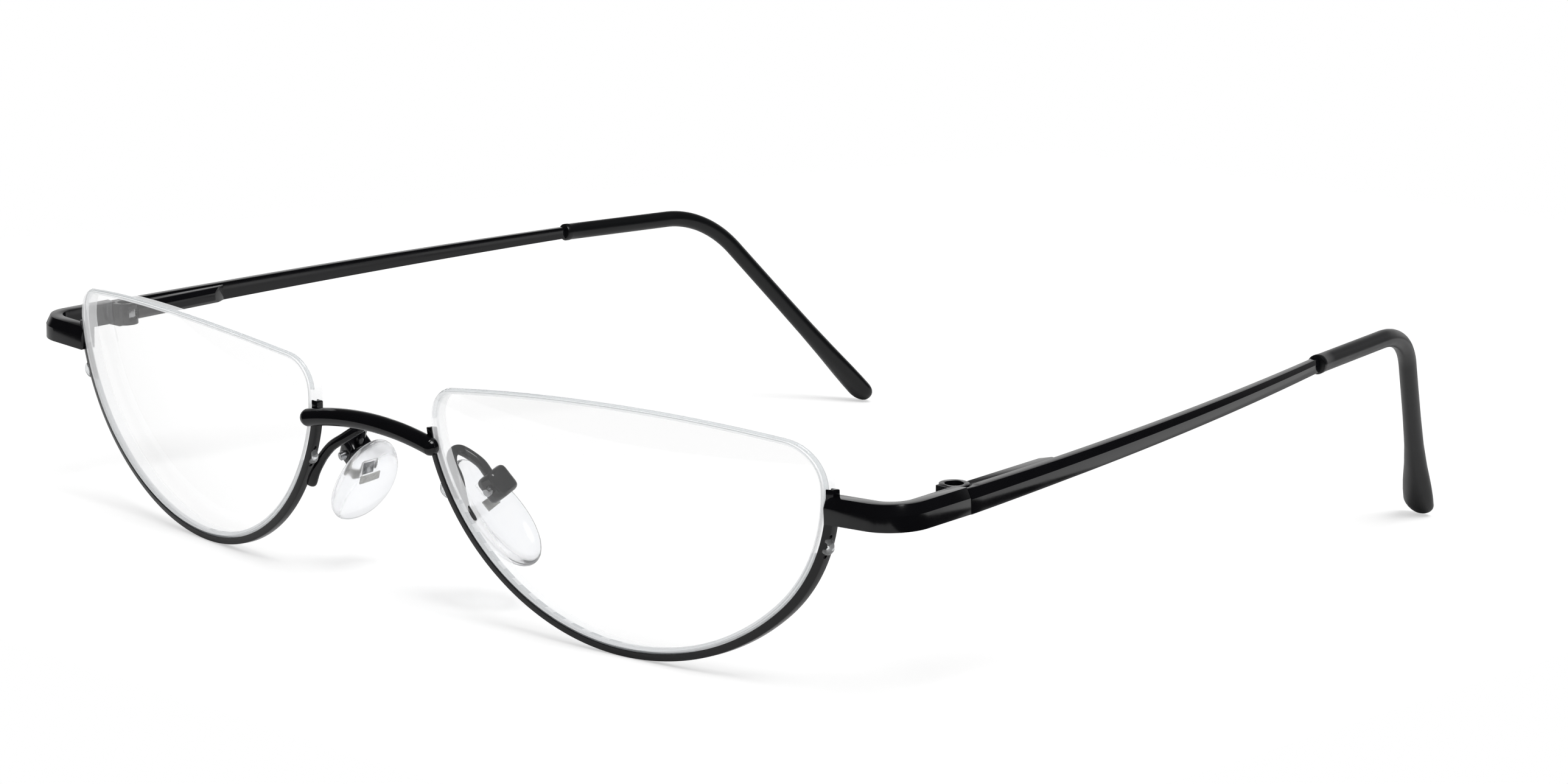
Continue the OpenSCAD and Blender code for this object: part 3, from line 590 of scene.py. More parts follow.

# Ground resin: a white, half see-through frosting with the grain that the wheel leaves, drawn
# coarser than the real grit so that it shows. It has a faint painted glow, which stands in for the
# light that the clear lens gathers and lets out at its frosted edge.
wheel_grain = 0.25
tree = new_tree("ground_lens_edge")
place = add(tree, "TexCoord")
grain = add(
    tree, "TexNoise",
    values={"Scale": pattern_scale(wheel_grain), "Detail": 2}, links={"Vector": (place, "Object")},
)
frost = add(tree, "ValToRGB", links={"Fac": (grain, "Fac")})
frost.color_ramp.elements[0].color = linear("#e4e6e8")
frost.color_ramp.elements[1].color = linear("#f2f3f4")
ground = add(
    tree, "BsdfPrincipled",
    values={
        "Roughness": 0.45,
        "IOR": 1.5,
        "Alpha": 0.55,
        # The emission is the painted glow of the frosted edge.
        "Emission Color": (1, 1, 1, 1),
        "Emission Strength": 0.34,
    },
    links={"Base Color": (frost, "Color")},
)
add(tree, "OutputMaterial", links={"Surface": (ground, "BSDF")})

# The bevel's rim of the ground edge bends the view away to dark things, so it is a grey line of
# painted shade.
tree = new_tree("lens_bevel_line")
bevel_line = add(
    tree, "BsdfPrincipled",
    values={"Base Color": linear("#74797d"), "Roughness": 0.3, "IOR": 1.5, "Alpha": 0.26},
)
add(tree, "OutputMaterial", links={"Surface": (bevel_line, "BSDF")})

# Each face gets its finish by the place that its ring gave it: polished, ground edge or bevel.
ground_edge = 1
front_bevel = 2
ground_rings = 6
first_bevel = len(shares)
edge_rings = {first_bevel: front_bevel}
for ring in range(first_bevel + 1, first_bevel + 1 + ground_rings):
    edge_rings[ring] = ground_edge
sides = len(edge)
marks = {}
for ring, kind in edge_rings.items():
    for spot in range(sides):
        a = Vector(lens_rings[ring][spot])
        c = Vector(lens_rings[ring + 1][(spot + 1) % sides])
        marks[tuple(round(v, 2) for v in (a + c) / 2)] = kind
for face in lens.data.polygons:
    corners = [lens.data.vertices[i].co for i in face.vertices]
    for spot in ((corners[0] + corners[2]) / 2, (corners[1] + corners[-1]) / 2):
        kind = marks.get(tuple(round(v, 2) for v in spot))
        if kind:
            face.material_index = kind
shade_smooth(lens, 25)
lens_materials = [
    bpy.data.materials[name] for name in ("polished_lens_resin", "ground_lens_edge", "lens_bevel_line")
]
kinds = [face.material_index for face in lens.data.polygons]
fit_both_sides(lens, "reading_lens", lens_materials, "front", "lens_clear", "lens")
for side in ("left_", "right_"):
    for face, kind in zip(bpy.data.objects[side + "reading_lens"].data.polygons, kinds):
        face.material_index = kind

# Nylon lines
# A clear nylon thread holds each lens: it runs over the top in the groove and is drawn out and back
# through two pairs of holes in the rim. Outside the rim it shows as a small glassy loop.
line_r = 0.25
line_from = 352
line_to = 540
loop_r = 0.37
loop_foot = 0.75
loop_shoulder = 1.15
loop_top = 1.46
loop_draw_in = 0.05

# Drawn nylon monofilament: smooth and glassy, so it shows by its highlights.
tree = new_tree("clear_nylon")
thread = add(
    tree, "BsdfPrincipled",
    values={
        "Base Color": linear("#f4f6f7"),
        "Roughness": 0.06,
        "IOR": 1.53,
        "Transmission Weight": 0.8,
    },
)
add(tree, "OutputMaterial", links={"Surface": (thread, "BSDF")})


def smooth_way(spots, steps):
    """A smooth curve through spots, with even steps between each two."""
    way = []
    last = len(spots) - 1
    for index in range(last):
        a, b = spots[max(index - 1, 0)], spots[index]
        c, d = spots[index + 1], spots[min(index + 2, last)]
        for step in range(steps):
            t = step / steps
            way.append(
                0.5
                * (
                    2 * b + (c - a) * t + (2 * a - 5 * b + 4 * c - d) * t**2
                    + (3 * b - a - 3 * c + d) * t**3
                )
            )
    return way + [spots[-1]]


line = bend_round_lens("line", oval(line_r, line_r, 12), first=line_from, last=line_to)
press_to_front(line)
close_ends(line)
for way, z in knots:
    spots = [
        beside_rim(way, z + loop_half, loop_foot),
        beside_rim(way, z + loop_half - loop_draw_in, loop_shoulder),
        beside_rim(way, z, loop_top),
        beside_rim(way, z - loop_half + loop_draw_in, loop_shoulder),
        beside_rim(way, z - loop_half, loop_foot),
    ]
    loop = roll_up(
        "loop",
        rings_along(smooth_way(spots, 5), lambda index: oval(loop_r, loop_r, 16), Vector((0, 1, 0))),
    )
    combine(line, loop, "UNION")
shade_smooth(line, 50)
fit_both_sides(
    line, "nylon_line", [bpy.data.materials["clear_nylon"]], "front", "clear_line", "lens_line"
)

# Endpieces
# Each endpiece is a stamped bar with a bevelled upper edge, bent back towards the temple and
# soldered over the rim's upper end. Its rear carries the two outer ears of the hinge.
end_reach = 10.2
end_gap = 0.2
bar_thick = 2.0
bar_high = 2.8
bar_bevel_in = 0.5
bar_bevel_down = 1.1
bar_bend = 4.5
bar_end = -0.9
bar_rise = math.radians(4.2)
bar_climb = math.radians(2.8)
bar_proud = 0.05
bar_steps = 18
hinge_in = 2.9
hinge_back = 12.5
hinge_z = 21.9
temple_rise = math.radians(4.45)
ear_r = 1.6
ears_high = 2.75
slot_r = 1.4
slot_high = 1.23
screw_hole_r = 0.61
sink_r = 1.02
sink_floor = 0.8
lug_in = 1
lug_out = 1.3
lug_past = 0.4
slot_mouth = 0.6
slot_end = 2.4
cut_past = 3
end_round = 0.12

lens_side = nose_gap / 2 + lens_width
hinge = Vector(
    (
        lens_side + end_reach - hinge_in,
        front_y(lens_side, widest_z) - rim_deep / 2 + hinge_back,
        hinge_z,
    )
)
at_hinge = Matrix.Translation(hinge) @ Matrix.Rotation(temple_rise, 4, "X")


def settle(piece, place):
    """Moves a primitive's own place, and then a further one, into its mesh."""
    bpy.context.view_layer.update()
    piece.data.transform(place @ piece.matrix_world)
    piece.matrix_world = Matrix.Identity(4)
    return piece


def block(low, high):
    """A box between two corners."""
    start_clean()
    low, high = Vector(low), Vector(high)
    bpy.ops.mesh.primitive_cube_add(size=1, location=(low + high) / 2, scale=high - low)
    return bpy.context.object


def peg(radius, low, high, vertices=64):
    """A round peg standing between two heights."""
    start_clean()
    bpy.ops.mesh.primitive_cylinder_add(
        vertices=vertices, radius=radius, depth=high - low, location=(0, 0, (low + high) / 2)
    )
    return bpy.context.object


def bar_ring(spot, outward, proud=0.0):
    """The endpiece bar's section at a place on its inner face."""
    spot, outward = Vector(spot), Vector(outward)
    points = [
        (0, -bar_high / 2),
        (bar_thick + proud, -bar_high / 2),
        (bar_thick + proud, bar_high / 2 - bar_bevel_down),
        (bar_thick + proud - bar_bevel_in, bar_high / 2),
        (0, bar_high / 2),
    ]
    return [spot + outward * out + Vector((0, 0, up)) for out, up in points]


bend_x = hinge_in - bar_bend
bend_y = bar_bend - hinge_back
inner_bend = bar_bend - bar_thick
bar_rings = [bar_ring((hinge_in - bar_thick, bar_end, 0), (1, 0, 0))]
for index in range(bar_steps + 1):
    angle = -math.radians(90 * index / bar_steps)
    outward = Vector((math.cos(angle), math.sin(angle), 0))
    spot = Vector((bend_x, bend_y, 0)) + inner_bend * outward
    bar_rings.append(bar_ring(spot, outward, bar_proud * (index / bar_steps) ** 2))
bar_rings.append(
    bar_ring((lens_side + end_gap - hinge.x, bend_y - inner_bend, 0), (0, -1, 0), bar_proud)
)
endpiece = roll_up("endpiece", bar_rings)
bar_turn = Matrix.Rotation(-bar_climb, 4, "Y") @ Matrix.Rotation(bar_rise, 4, "X")
settle(endpiece, Matrix.Translation(hinge) @ bar_turn)
combine(endpiece, settle(peg(ear_r, -ears_high / 2, ears_high / 2), at_hinge), "UNION")
lug_half = ears_high / 2 - 0.01
lug = block((-lug_in, -slot_r - lug_past, -lug_half), (lug_out, 0, lug_half))
combine(endpiece, settle(lug, at_hinge), "UNION")
slot_half = slot_high / 2 - 0.001
for tool in (
    peg(slot_r, -slot_high / 2, slot_high / 2),
    block((-cut_past, -slot_mouth, -slot_half), (slot_r, slot_end, slot_half)),
    peg(screw_hole_r, -cut_past, cut_past),
    peg(sink_r, sink_floor, cut_past),
):
    combine(endpiece, settle(tool, at_hinge), "DIFFERENCE")
round_edges(endpiece, end_round, segments=3, angle=22)
fit_both_sides(endpiece, "end_bar", [black_lacquer], "front", "black_metal", "endpiece")

# Pad arms
# A round wire is flattened at its foot, soldered to the back of the rim, and bent up and back in
# a loop to the pad box, so that the pad can be set to the nose with pliers.
pad_spot = Vector((11.5, 2.1, 14.6))
pad_slope = math.radians(34)
pad_lean = math.radians(25)
pad_turn = math.radians(16.5)
at_pad = (
    Matrix.Translation(pad_spot)
    @ Matrix.Rotation(pad_lean, 4, "X")
    @ Matrix.Rotation(-pad_slope, 4, "Y")
    @ Matrix.Rotation(pad_turn, 4, "Z")
)
box_high = 3.6
wire_r = 0.6
solder_gap = 0.02
foot_out = 0.15
arm_round = 0.15
foot_back = Vector((0, rim_half + wire_r + solder_gap, 0))
arm_out = rim_gap + rim_thick / 2 + foot_out

# The wire's middle line is given point by point from the foot to the box. The foot is hammered wide.
arm_spots = [
    beside_rim(-1, 11.6, arm_out) + foot_back,
    beside_rim(-1, 13.2, arm_out) + foot_back,
    Vector((10.6, -3, 15.6)),
    Vector((8.9, -2.4, 17)),
    Vector((7.9, -1.4, 18)),
    Vector((8.1, -0.3, 18.2)),
    at_pad @ Vector((0, 0, box_high / 2 + 1.4)),
    at_pad @ Vector((0, 0, box_high / 2 - 0.2)),
]
arm_way = smooth_way(arm_spots, 8)
foot_wide = [0.55, 0.85, 0.95, 0.98, 1, 0.98, 0.95, 0.9, 0.84, 0.78, 0.72, 0.68, 0.64]
foot_end_share = 0.75


def arm_section(index):
    """The wire's section at a place of its way, wider at the foot."""
    wide = foot_wide[index] if index < len(foot_wide) else wire_r
    high = wire_r * (foot_end_share if index == 0 else 1)
    return oval(wide, high)


arm = roll_up("arm", rings_along(arm_way, arm_section, Vector((1, 0, 0))))
round_edges(arm, arm_round, segments=3, angle=50)
fit_both_sides(arm, "pad_wire", [black_lacquer], "front", "black_metal", "pad_arm")

# Pad boxes and screws
# A small cup on the end of each arm holds the pad's tab, and a bright screw goes through both.
# The boxes are lacquered with the frame; the screws go in afterwards and stay bare steel.
box_half = 3.5 / 2
cup_low = (-1.3, -1.6, -1.65)
cup_high = (1.55, 1.6, 1.65)
cup_round = 0.7
slot_in = 1
slot_half_wide = 0.68
slot_half_high = 1.2
cup_bore_r = 0.56
pad_screw_r = 0.5
screw_head_r = 0.8
screw_head = 0.4
head_edge = 0.06
plain_end = 0.1
thread_turns = 4
thread_step = 0.15
thread_deep = 0.09
thread_crest = 0.03
flank_end = 0.09
thread_root = 0.1
screw_end = 0.62
screw_slot_half = 0.1
screw_slot_deep = 0.18

# Turned stainless steel: bright, with a gloss that the marks of the lathe make uneven. The marks
# are drawn coarser than real ones so that they show.
lathe_mark = 0.4
tree = new_tree("turned_steel")
place = add(tree, "TexCoord")
lathe_marks = add(
    tree, "TexNoise",
    values={"Scale": pattern_scale(lathe_mark), "Detail": 2}, links={"Vector": (place, "Object")},
)
wear = add(
    tree, "MapRange", values={"To Min": 0.18, "To Max": 0.34}, links={"Value": (lathe_marks, "Fac")}
)
metal = add(
    tree, "BsdfPrincipled",
    values={"Base Color": linear("#c3c4c6"), "Metallic": 1},
    links={"Roughness": (wear, "Result")},
)
add(tree, "OutputMaterial", links={"Surface": (metal, "BSDF")})
turned_steel = bpy.data.materials["turned_steel"]

lying = Matrix.Rotation(math.pi / 2, 4, "X")
cup = block(cup_low, cup_high)
bevel_edges(cup, cup_round, segments=4)
tab_slot = block(
    (-cut_past, -slot_half_wide, -slot_half_high), (slot_in, slot_half_wide, slot_half_high)
)
combine(cup, tab_slot, "DIFFERENCE")
combine(cup, settle(peg(cup_bore_r, -cut_past, cut_past), lying), "DIFFERENCE")
settle(cup, at_pad)
shade_smooth(cup, 35)
fit_both_sides(cup, "pad_cup", [black_lacquer], "front", "black_metal", "pad_box")


def turned(name, profile, sides=32):
    """A turned piece standing along Z: its profile holds heights and radii."""
    return roll_up(name, [[(r * c, r * s, z) for c, s in oval(1, 1, sides)] for z, r in profile])


# A ring this small merges into one point on the axis.
on_axis = 0.0005
head_top = box_half - 0.02
thread_top = -box_half - 0.02
root_r = pad_screw_r - thread_deep
profile = [
    (head_top, on_axis),
    (head_top, screw_head_r - head_edge),
    (head_top - head_edge, screw_head_r),
    (head_top - screw_head, screw_head_r),
    (head_top - screw_head, pad_screw_r),
    (-box_half + plain_end, pad_screw_r),
]
for turn in range(thread_turns):
    top = thread_top - thread_step * turn
    profile += [(top, pad_screw_r), (top - thread_crest, pad_screw_r)]
    profile += [(top - flank_end, root_r), (top - thread_root, root_r)]
profile.append((-box_half - screw_end, on_axis))
pad_screw = turned("pad_screw", profile)
driver_slot = block(
    (-1, -screw_slot_half, head_top - screw_slot_deep), (1, screw_slot_half, head_top + 1)
)
combine(pad_screw, driver_slot, "DIFFERENCE")
settle(pad_screw, at_pad @ lying.inverted())
shade_smooth(pad_screw)
fit_both_sides(pad_screw, "pad_fixing", [turned_steel], "front", "steel", "pad_screw")

# Nose pads and plates
# Soft clear silicone is moulded as a pebble over a small grey plate, whose tab goes into the box.
# The face towards the nose is domed, the back nearly flat, and the lower end is fuller.
pad_long = 14.4
pad_wide = 8.4
pad_thick = 2.2
pad_dome = 0.8
pad_drop = 2.4
pad_taper = 0.12
box_to_pad = 0.55
pad_back = cup_low[0] - box_to_pad
boss_in = 0.6
boss_out = 0.12
boss_half_wide = 0.95
boss_half_high = 1.5
boss_round = 0.35

# A ball is pulled out to the pebble: the full face bulges more than the back, and the wider end
# hangs down.
start_clean()
bpy.ops.mesh.primitive_uv_sphere_add(segments=64, ring_count=32, radius=1)
pebble = bpy.context.object
for vertex in pebble.data.vertices:
    x, y, z = vertex.co
    side_share = y * pad_wide / 2 * (1 - pad_taper * z)
    if x < 0:
        depth = -(abs(x) ** 0.9) * (pad_thick - pad_dome)
    else:
        depth = abs(x) ** 0.55 * pad_dome
    vertex.co = (pad_back - pad_dome + depth, side_share, z * pad_long / 2 - pad_drop)
boss = block(
    (pad_back - boss_in, -boss_half_wide, -boss_half_high),
    (pad_back + boss_out, boss_half_wide, boss_half_high),
)
bevel_edges(boss, boss_round, segments=3)
combine(pebble, boss, "UNION")
settle(pebble, at_pad)
shade_smooth(pebble, 45)

# Clear silicone rubber: a soft satin skin over a faintly blue, slightly cloudy body.
silicone_cloud = 3.85
tree = new_tree("clear_silicone")
place = add(tree, "TexCoord")
cloud = add(
    tree, "TexNoise",
    values={"Scale": pattern_scale(silicone_cloud), "Detail": 3},
    links={"Vector": (place, "Object")},
)
tint = add(tree, "ValToRGB", links={"Fac": (cloud, "Fac")})
tint.color_ramp.elements[0].color = linear("#f5f7fb")
tint.color_ramp.elements[1].color = linear("#ffffff")
silicone = add(
    tree, "BsdfPrincipled",
    values={"Roughness": 0.12, "IOR": 1.41, "Transmission Weight": 0.97},
    links={"Base Color": (tint, "Color")},
)
add(tree, "OutputMaterial", links={"Surface": (silicone, "BSDF")})
fit_both_sides(
    pebble, "silicone_pad", [bpy.data.materials["clear_silicone"]], "pad", "pad_clear", "nose_pad"
)

# Grey plate stamped from sheet, with a fine cross-hatch that grips the silicone.
hatch_step = 0.3125
hatch_deep = 0.06
tree = new_tree("hatched_plate")
place = add(tree, "TexCoord")
hatch = add(
    tree, "TexVoronoi", settings={"distance": "CHEBYCHEV"},
    values={"Scale": pattern_scale(hatch_step)}, links={"Vector": (place, "Object")},
)
pits = add(
    tree, "Bump",
    values={"Strength": 0.5, "Distance": hatch_deep * mm}, links={"Height": (hatch, "Distance")},
)
speckle = add(tree, "ValToRGB", links={"Fac": (hatch, "Distance")})
speckle.color_ramp.elements[0].color = linear("#d6d5d1")
speckle.color_ramp.elements[1].color = linear("#b0afab")
plate_metal = add(
    tree, "BsdfPrincipled",
    values={"Roughness": 0.5},
    links={"Base Color": (speckle, "Color"), "Normal": (pits, "Normal")},
)
add(tree, "OutputMaterial", links={"Surface": (plate_metal, "BSDF")})

plate_in = 0.75
plate_drop = 1.2
plate_half = Vector((0.15, 1.2, 0.65))
plate_round = 0.08
plate_middle = Vector((pad_back - plate_in, 0, -plate_drop))
plate = block(plate_middle - plate_half, plate_middle + plate_half)
settle(plate, at_pad)
round_edges(plate, plate_round)
fit_both_sides(
    plate, "pad_insert", [bpy.data.materials["hatched_plate"]], "pad", "pad_grey", "pad_plate"
)

# The tab is clear plastic, moulded on the plate's back, and its eye sits on the screw in the box.
tab_half = 1.15
tab_half_high = 0.95
tab_thick = 1.2
tab_play = 0.04
tab_round = 0.06
tree = new_tree("clear_tab")
moulded = add(
    tree, "BsdfPrincipled",
    values={
        "Base Color": linear("#f1f3f5"),
        "Roughness": 0.1,
        "IOR": 1.49,
        "Transmission Weight": 0.9,
    },
)
add(tree, "OutputMaterial", links={"Surface": (moulded, "BSDF")})
tab = block(
    (pad_back + boss_out, -tab_thick / 2, -tab_half_high), (0, tab_thick / 2, tab_half_high)
)
combine(tab, settle(peg(tab_half, -tab_thick / 2, tab_thick / 2), lying), "UNION")
combine(tab, settle(peg(pad_screw_r + tab_play, -cut_past, cut_past), lying), "DIFFERENCE")
settle(tab, at_pad)
round_edges(tab, tab_round)
fit_both_sides(tab, "pad_tab", [bpy.data.materials["clear_tab"]], "pad", "pad_clear")

# Hinge screws
# A slotted screw with its head sunk in the upper ear holds each temple. It is nearly black steel,
# so that only the rim of its head and its slot catch the light.
head_low = sink_floor + 0.02
head_high = head_low + 0.26
sunk_head_r = 0.94
sunk_head_edge = 0.08
shank_r = 0.57
shank_edge = 0.07
shank_edge_high = 0.06
shank_low = -1.36
sunk_slot_half = 0.14
sunk_slot_deep = 0.14

# Nearly black satin steel, bluish where light strikes it.
tree = new_tree("blackened_steel")
dark_steel = add(
    tree, "BsdfPrincipled",
    values={"Base Color": linear("#2c2d31"), "Metallic": 1, "Roughness": 0.3},
)
add(tree, "OutputMaterial", links={"Surface": (dark_steel, "BSDF")})

profile = [
    (head_high, on_axis),
    (head_high, sunk_head_r - sunk_head_edge),
    (head_high - sunk_head_edge, sunk_head_r),
    (head_low, sunk_head_r),
    (head_low, shank_r),
    (shank_low + shank_edge_high, shank_r),
    (shank_low, shank_r - shank_edge),
    (shank_low, on_axis),
]
hinge_screw = turned("hinge_screw", profile, sides=48)
driver_slot = block(
    (-2, -sunk_slot_half, head_high - sunk_slot_deep), (2, sunk_slot_half, head_high + 1)
)
combine(hinge_screw, driver_slot, "DIFFERENCE")
settle(hinge_screw, at_hinge)
shade_smooth(hinge_screw)
fit_both_sides(
    hinge_screw, "sunk_screw", [bpy.data.materials["blackened_steel"]], "screw", "steel", "hinge_screw"
)

# Spring hinges
# The middle knuckle of each hinge is an eye on a plunger. A coil spring round the plunger, held by
# a ring in the housing's mouth, draws the temple back in after it is sprung outwards.
knuckle_round = 0.05
ring_round = 0.02
housing_round = 0.12
for side in ("left_", "right_"):
    knuckle = merged_copy(side + "hinge_eye", side + "knuckle", join=0.2)
    round_edges(knuckle, knuckle_round * mm, angle=50)
    fit(knuckle, turned_steel, side + "eye", "steel", side + "hinge_eye")
    ring = merged_copy(side + "spring_stop", side + "mouth_ring")
    round_edges(ring, ring_round * mm, segments=1, angle=50)
    fit(ring, turned_steel, side + "temple", "steel", side + "spring_stop")

chamber_end = 13
plunger_head = 0.8
plunger_travel = 0.66
coil_from = 3.1
coil_to = chamber_end - plunger_head - plunger_travel
coil_wire = 0.1
coil_r = 0.495
coil_turns = 14
steps = 18
count = coil_turns * steps
coil_way = [
    Vector(
        (
            coil_r * math.cos(2 * math.pi * i / steps),
            coil_from + coil_wire + (coil_to - coil_from - 2 * coil_wire) * i / count,
            coil_r * math.sin(2 * math.pi * i / steps),
        )
    )
    for i in range(count + 1)
]
coil = roll_up(
    "coil", rings_along(coil_way, lambda index: oval(coil_wire, coil_wire, 8), Vector((1, 0, 0)))
)
settle(coil, at_hinge)
shade_smooth(coil, 50)
fit_both_sides(coil, "coil_spring", [turned_steel], "temple", "steel", "flex_spring")

for side in ("left_", "right_"):
    housing = merged_copy(side + "hinge_housing", side + "spring_housing", join=0.2)
    round_edges(housing, housing_round * mm, segments=3, angle=25)
    fit(housing, black_lacquer, side + "temple", "black_metal", side + "hinge_housing")

# Temples
# Each temple is a bar of nickel silver, rolled to a taper with a crease along its outer face, bowed
# inwards and lacquered. Its rear end goes on as a thin core wire inside the plastic tip.
temple_long = 75.8
bow_y = -10.8
outer_bow = 566
inner_bow = 606
temple_thick = 1.5
crease = 0.3
bevel_in = 0.5
half_front = 2.65 / 2
half_middle = 2.3 / 2
half_end = 1.6 / 2
housing_long = 16.5
temple_gap = 0.15
ear_room = 0.27
core_in = 0.5
temple_steps = 40
temple_round = 0.14
slope = bevel_in / (half_front - crease)


def bow(start, radius, y):
    """Distance out from the hinge axis of a face of the temple at a place along it."""
    there = start + bow_y**2 / (2 * radius)
    return there - radius + math.sqrt(radius**2 - (y - bow_y) ** 2)


def outer_face(y):
    """Distance out of the temple's outer face."""
    return bow(hinge_in, outer_bow, y)


def inner_face(y):
    """Distance out of the temple's inner face."""
    return bow(hinge_in - temple_thick, inner_bow, y)


def half_height(y):
    """Half the temple's height, which falls evenly to the housing's end and on to the tip."""
    if y < housing_long:
        return half_front + (half_middle - half_front) * max(0, y - bar_end) / (housing_long - bar_end)
    return half_middle + (half_end - half_middle) * (y - housing_long) / (temple_long - housing_long)


start = bar_end + temple_gap
temple_rings = []
for index in range(temple_steps + 1):
    y = start + (temple_long + core_in - start) * index / temple_steps
    high = half_height(min(y, temple_long))
    top_in = slope * (high - crease)
    temple_rings.append(
        [
            (inner_face(y), y, -high),
            (outer_face(y), y, -high),
            (outer_face(y), y, crease),
            (outer_face(y) - top_in, y, high),
            (inner_face(y), y, high),
        ]
    )
temple = roll_up("temple", temple_rings)
combine(temple, peg(ear_r + ear_room, -cut_past, cut_past, vertices=96), "DIFFERENCE")
round_edges(temple, temple_round, segments=3, angle=20)
settle(temple, at_hinge)
fit_both_sides(temple, "temple_bar", [black_lacquer], "temple", "black_metal", "temple")

# Temple tips
# Each tip is a moulded black plastic sleeve pushed over the core wire, with a lip at its mouth,
# bent warm behind the ear and ending in a flat paddle that rests against the head.
tip_r = 1.15
lip_r = 1.2
tip_sag = 0.17
tip_straight = 18.8
tip_bend_r = 16
tip_bend = math.radians(49.6)
tip_roll = math.radians(14.6)
tip_dip = math.radians(0.9)
tip_turn = math.radians(1.5)
tip_drop = 34.0
lip_end = 0.95
mouth_step = 0.02
paddle_wide = 2.24
paddle_high = 1.2
paddle_end = 2.2
paddle_from = tip_drop - paddle_end
end_point = 0.0003
straight_steps = 8
bend_steps = 20
end_steps = 8
core_x = (outer_face(temple_long) + inner_face(temple_long)) / 2
tip_lean = math.asin((temple_long - bow_y) / outer_bow) - tip_turn
at_tip = (
    at_hinge
    @ Matrix.Translation((core_x, temple_long, 0))
    @ Matrix.Rotation(tip_lean, 4, "Z")
    @ Matrix.Rotation(-tip_dip, 4, "X")
    @ Matrix.Rotation(tip_roll, 4, "Y")
)

# Places along the sleeve's mouth and radii there, then places down the drop and half sizes there.
mouth = [(0, 0.45), (0, 1.0), (0.06, 1.15), (0.16, lip_r), (0.7, lip_r), (0.84, 1.19)]
mouth.append((lip_end, tip_r))
paddle = [(6, 1.17, 1.15), (12, 1.2, 1.16), (18.4, 1.32, 1.18), (23, 1.62, 1.2), (25.3, 1.86, 1.2)]
paddle += [(27.6, 2.08, 1.2), (30, 2.22, 1.2), (paddle_from, paddle_wide, paddle_high)]
for index in range(1, end_steps + 1):
    turn = math.radians(90 * index / end_steps)
    share = math.cos(turn)
    wide = max(paddle_wide * share, end_point)
    high = max(paddle_high * share**0.7, end_point)
    paddle.append((paddle_from + paddle_end * math.sin(turn), wide, high))

tip_spots = [(Vector((0, y, 0)), (r, r)) for y, r in mouth]
for index in range(1, straight_steps + 1):
    share = index / straight_steps
    spot = Vector((0, lip_end + (tip_straight - lip_end) * share, -tip_sag * share))
    tip_spots.append((spot, (tip_r, tip_r)))
for index in range(1, bend_steps + 1):
    share = index / bend_steps
    angle = tip_bend * share
    drop = tip_bend_r * (math.cos(angle) - 1) - tip_sag * (1 - share)
    spot = Vector((0, tip_straight + tip_bend_r * math.sin(angle), drop))
    tip_spots.append((spot, (tip_r, tip_r)))
bend_end = tip_spots[-1][0]
down = Vector((0, math.cos(tip_bend), -math.sin(tip_bend)))
tip_spots += [(bend_end + down * along, (wide, high)) for along, wide, high in paddle]
tip_way = [spot for spot, half_sizes in tip_spots]
tip_way[0] = Vector((0, -mouth_step, 0))
tip_rings = rings_along(tip_way, lambda index: oval(*tip_spots[index][1], 28), Vector((1, 0, 0)))
tip = roll_up("tip", tip_rings)
settle(tip, at_tip)
shade_smooth(tip, 40)

# Injection moulded black plastic: satin gloss with a slight unevenness from the mould.
mould_swell = 2
swell_deep = 0.03
tree = new_tree("black_moulded_plastic")
place = add(tree, "TexCoord")
swell = add(
    tree, "TexNoise",
    values={"Scale": pattern_scale(mould_swell), "Detail": 3}, links={"Vector": (place, "Object")},
)
satin = add(tree, "MapRange", values={"To Min": 0.26, "To Max": 0.4}, links={"Value": (swell, "Fac")})
uneven = add(
    tree, "Bump",
    values={"Strength": 0.05, "Distance": swell_deep * mm}, links={"Height": (swell, "Fac")},
)
plastic = add(
    tree, "BsdfPrincipled",
    values={"Base Color": linear("#0d0e10"), "IOR": 1.49},
    links={"Roughness": (satin, "Result"), "Normal": (uneven, "Normal")},
)
add(tree, "OutputMaterial", links={"Surface": (plastic, "BSDF")})
fit_both_sides(
    tip, "ear_tip", [bpy.data.materials["black_moulded_plastic"]], "temple", "tip_black", "temple_tip"
)

# Studio
# Two sheets of paper lie under the glasses and a broad lamp shines down from the front and right.
# The room in front is dim, so the lacquer stays black. The right sheet starts further back, so that
# the endpiece's outer side mirrors the dim room, and it glows in the temple's side.
sheet_left = -0.25
sheet_join = 0.1
sheet_right = 0.4
sheet_back = 0.4
left_front = -0.115
right_front = 0.035
sheet_under = 0.02
seen_glow = 0.5
mirror_glow = 0.4
lamp_spread = math.radians(30)
lamp_power = 1.7
lamp_way = Vector((0.5, -0.25, 1)).normalized()
sheets = [
    ("left_sheet", (sheet_left, left_front), (sheet_join, sheet_back), 0),
    ("right_sheet", (sheet_join, right_front), (sheet_right, sheet_back), mirror_glow),
]

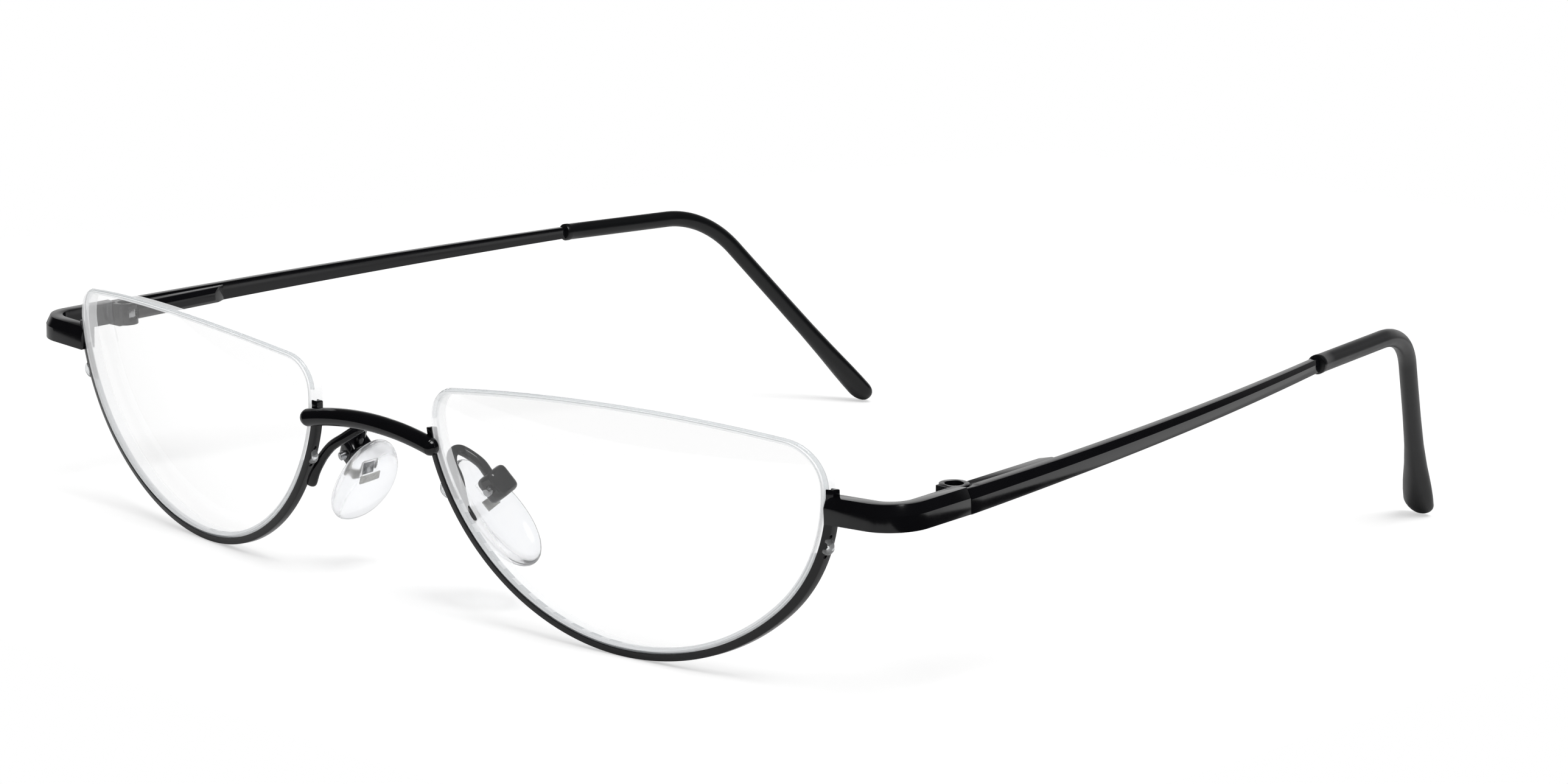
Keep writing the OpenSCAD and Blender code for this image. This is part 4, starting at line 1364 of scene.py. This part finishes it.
# Matt paper. It glows for the camera and through the lenses, so that the background is plain white
# and only the shadow stays on it.
for name, low, high, mirrored in sheets:
    tree = new_tree(name)
    rays = add(tree, "LightPath")
    seen = add(
        tree, "Math", settings={"operation": "MAXIMUM"},
        links={0: (rays, "Is Camera Ray"), 1: (rays, "Is Transmission Ray")},
    )
    in_gloss = add(
        tree, "Math", settings={"operation": "MULTIPLY"},
        values={1: mirrored}, links={0: (rays, "Is Glossy Ray")},
    )
    lift = add(
        tree, "Math", settings={"operation": "MULTIPLY_ADD"},
        values={1: seen_glow}, links={0: (seen, 0), 2: (in_gloss, 0)},
    )
    paper = add(
        tree, "BsdfPrincipled",
        values={
            "Base Color": linear("#cfcfcf"),
            "Roughness": 0.9,
            "Specular IOR Level": 0,
            "Emission Color": (1, 1, 1, 1),
        },
        links={"Emission Strength": (lift, 0)},
    )
    add(tree, "OutputMaterial", links={"Surface": (paper, "BSDF")})
    start_clean()
    bpy.ops.mesh.primitive_plane_add(size=1)
    sheet = bpy.context.object
    sheet.name = name
    for vertex in sheet.data.vertices:
        x, y, z = vertex.co
        vertex.co.x = high[0] if x > 0 else low[0]
        vertex.co.y = high[1] if y > 0 else low[1]
        vertex.co.z = -sheet_under * mm
    sheet.data.materials.append(bpy.data.materials[name])

lamp_data = bpy.data.lights.new("softbox", "SUN")
lamp_data.angle = lamp_spread
lamp_data.energy = lamp_power
lamp = bpy.data.objects.new("softbox", lamp_data)
lamp.matrix_world = lamp_way.to_track_quat("Z", "Y").to_matrix().to_4x4()
bpy.context.scene.collection.objects.link(lamp)

# The room is white straight on and lights all evenly. In mirrors it is dim, apart from a light wall
# behind the glasses that ends above eye height.
away = (-math.sin(camera_yaw), math.cos(camera_yaw), 0)
even_light = 0.5
dim_light = 0.02
wall_light = 0.75
wall_top = 0.3
dark_light = 0.07
dark_from = 0.48
world = bpy.data.worlds.new("studio")
world.use_nodes = True
bpy.context.scene.world = world
tree = world.node_tree
tree.nodes.clear()
toward = add(tree, "TexCoord")
heading = add(tree, "SeparateXYZ", links={"Vector": (toward, "Generated")})
ahead = add(
    tree, "VectorMath", settings={"operation": "DOT_PRODUCT"},
    values={1: away}, links={0: (toward, "Generated")},
)
behind = add(
    tree, "MapRange", settings={"interpolation_type": "SMOOTHSTEP"},
    values={"From Min": 0.4, "From Max": 0.8}, links={"Value": (ahead, "Value")},
)
band = add(tree, "ValToRGB", links={"Fac": (heading, "Z")})
band.color_ramp.elements[0].position = 0
band.color_ramp.elements[0].color = (wall_light, wall_light, wall_light, 1)
band.color_ramp.elements[1].position = dark_from
band.color_ramp.elements[1].color = (dark_light, dark_light, dark_light, 1)
wall = band.color_ramp.elements.new(wall_top)
wall.color = (wall_light, wall_light, wall_light, 1)
above_floor = add(
    tree, "MapRange", values={"From Min": -0.06, "From Max": -0.01}, links={"Value": (heading, "Z")}
)
standing = add(
    tree, "Math", settings={"operation": "MULTIPLY"},
    links={0: (band, "Color"), 1: (above_floor, "Result")},
)
backdrop = add(
    tree, "Math", settings={"operation": "MULTIPLY_ADD"},
    values={2: dim_light}, links={0: (behind, "Result"), 1: (standing, 0)},
)
rays = add(tree, "LightPath")
room_light = add(tree, "Background", values={"Color": (even_light, even_light, even_light, 1)})
mirror_light = add(tree, "Background", links={"Color": (backdrop, 0)})
white_light = add(tree, "Background", values={"Color": (1, 1, 1, 1)})
mirrored = add(
    tree, "MixShader",
    links={0: (rays, "Is Glossy Ray"), 1: (room_light, 0), 2: (mirror_light, 0)},
)
straight = add(
    tree, "Math", settings={"operation": "MAXIMUM"},
    links={0: (rays, "Is Camera Ray"), 1: (rays, "Is Transmission Ray")},
)
final = add(
    tree, "MixShader", links={0: (straight, 0), 1: (mirrored, 0), 2: (white_light, 0)}
)
add(tree, "OutputWorld", links={"Surface": (final, 0)})

bpy.context.scene.view_settings.view_transform = "Standard"
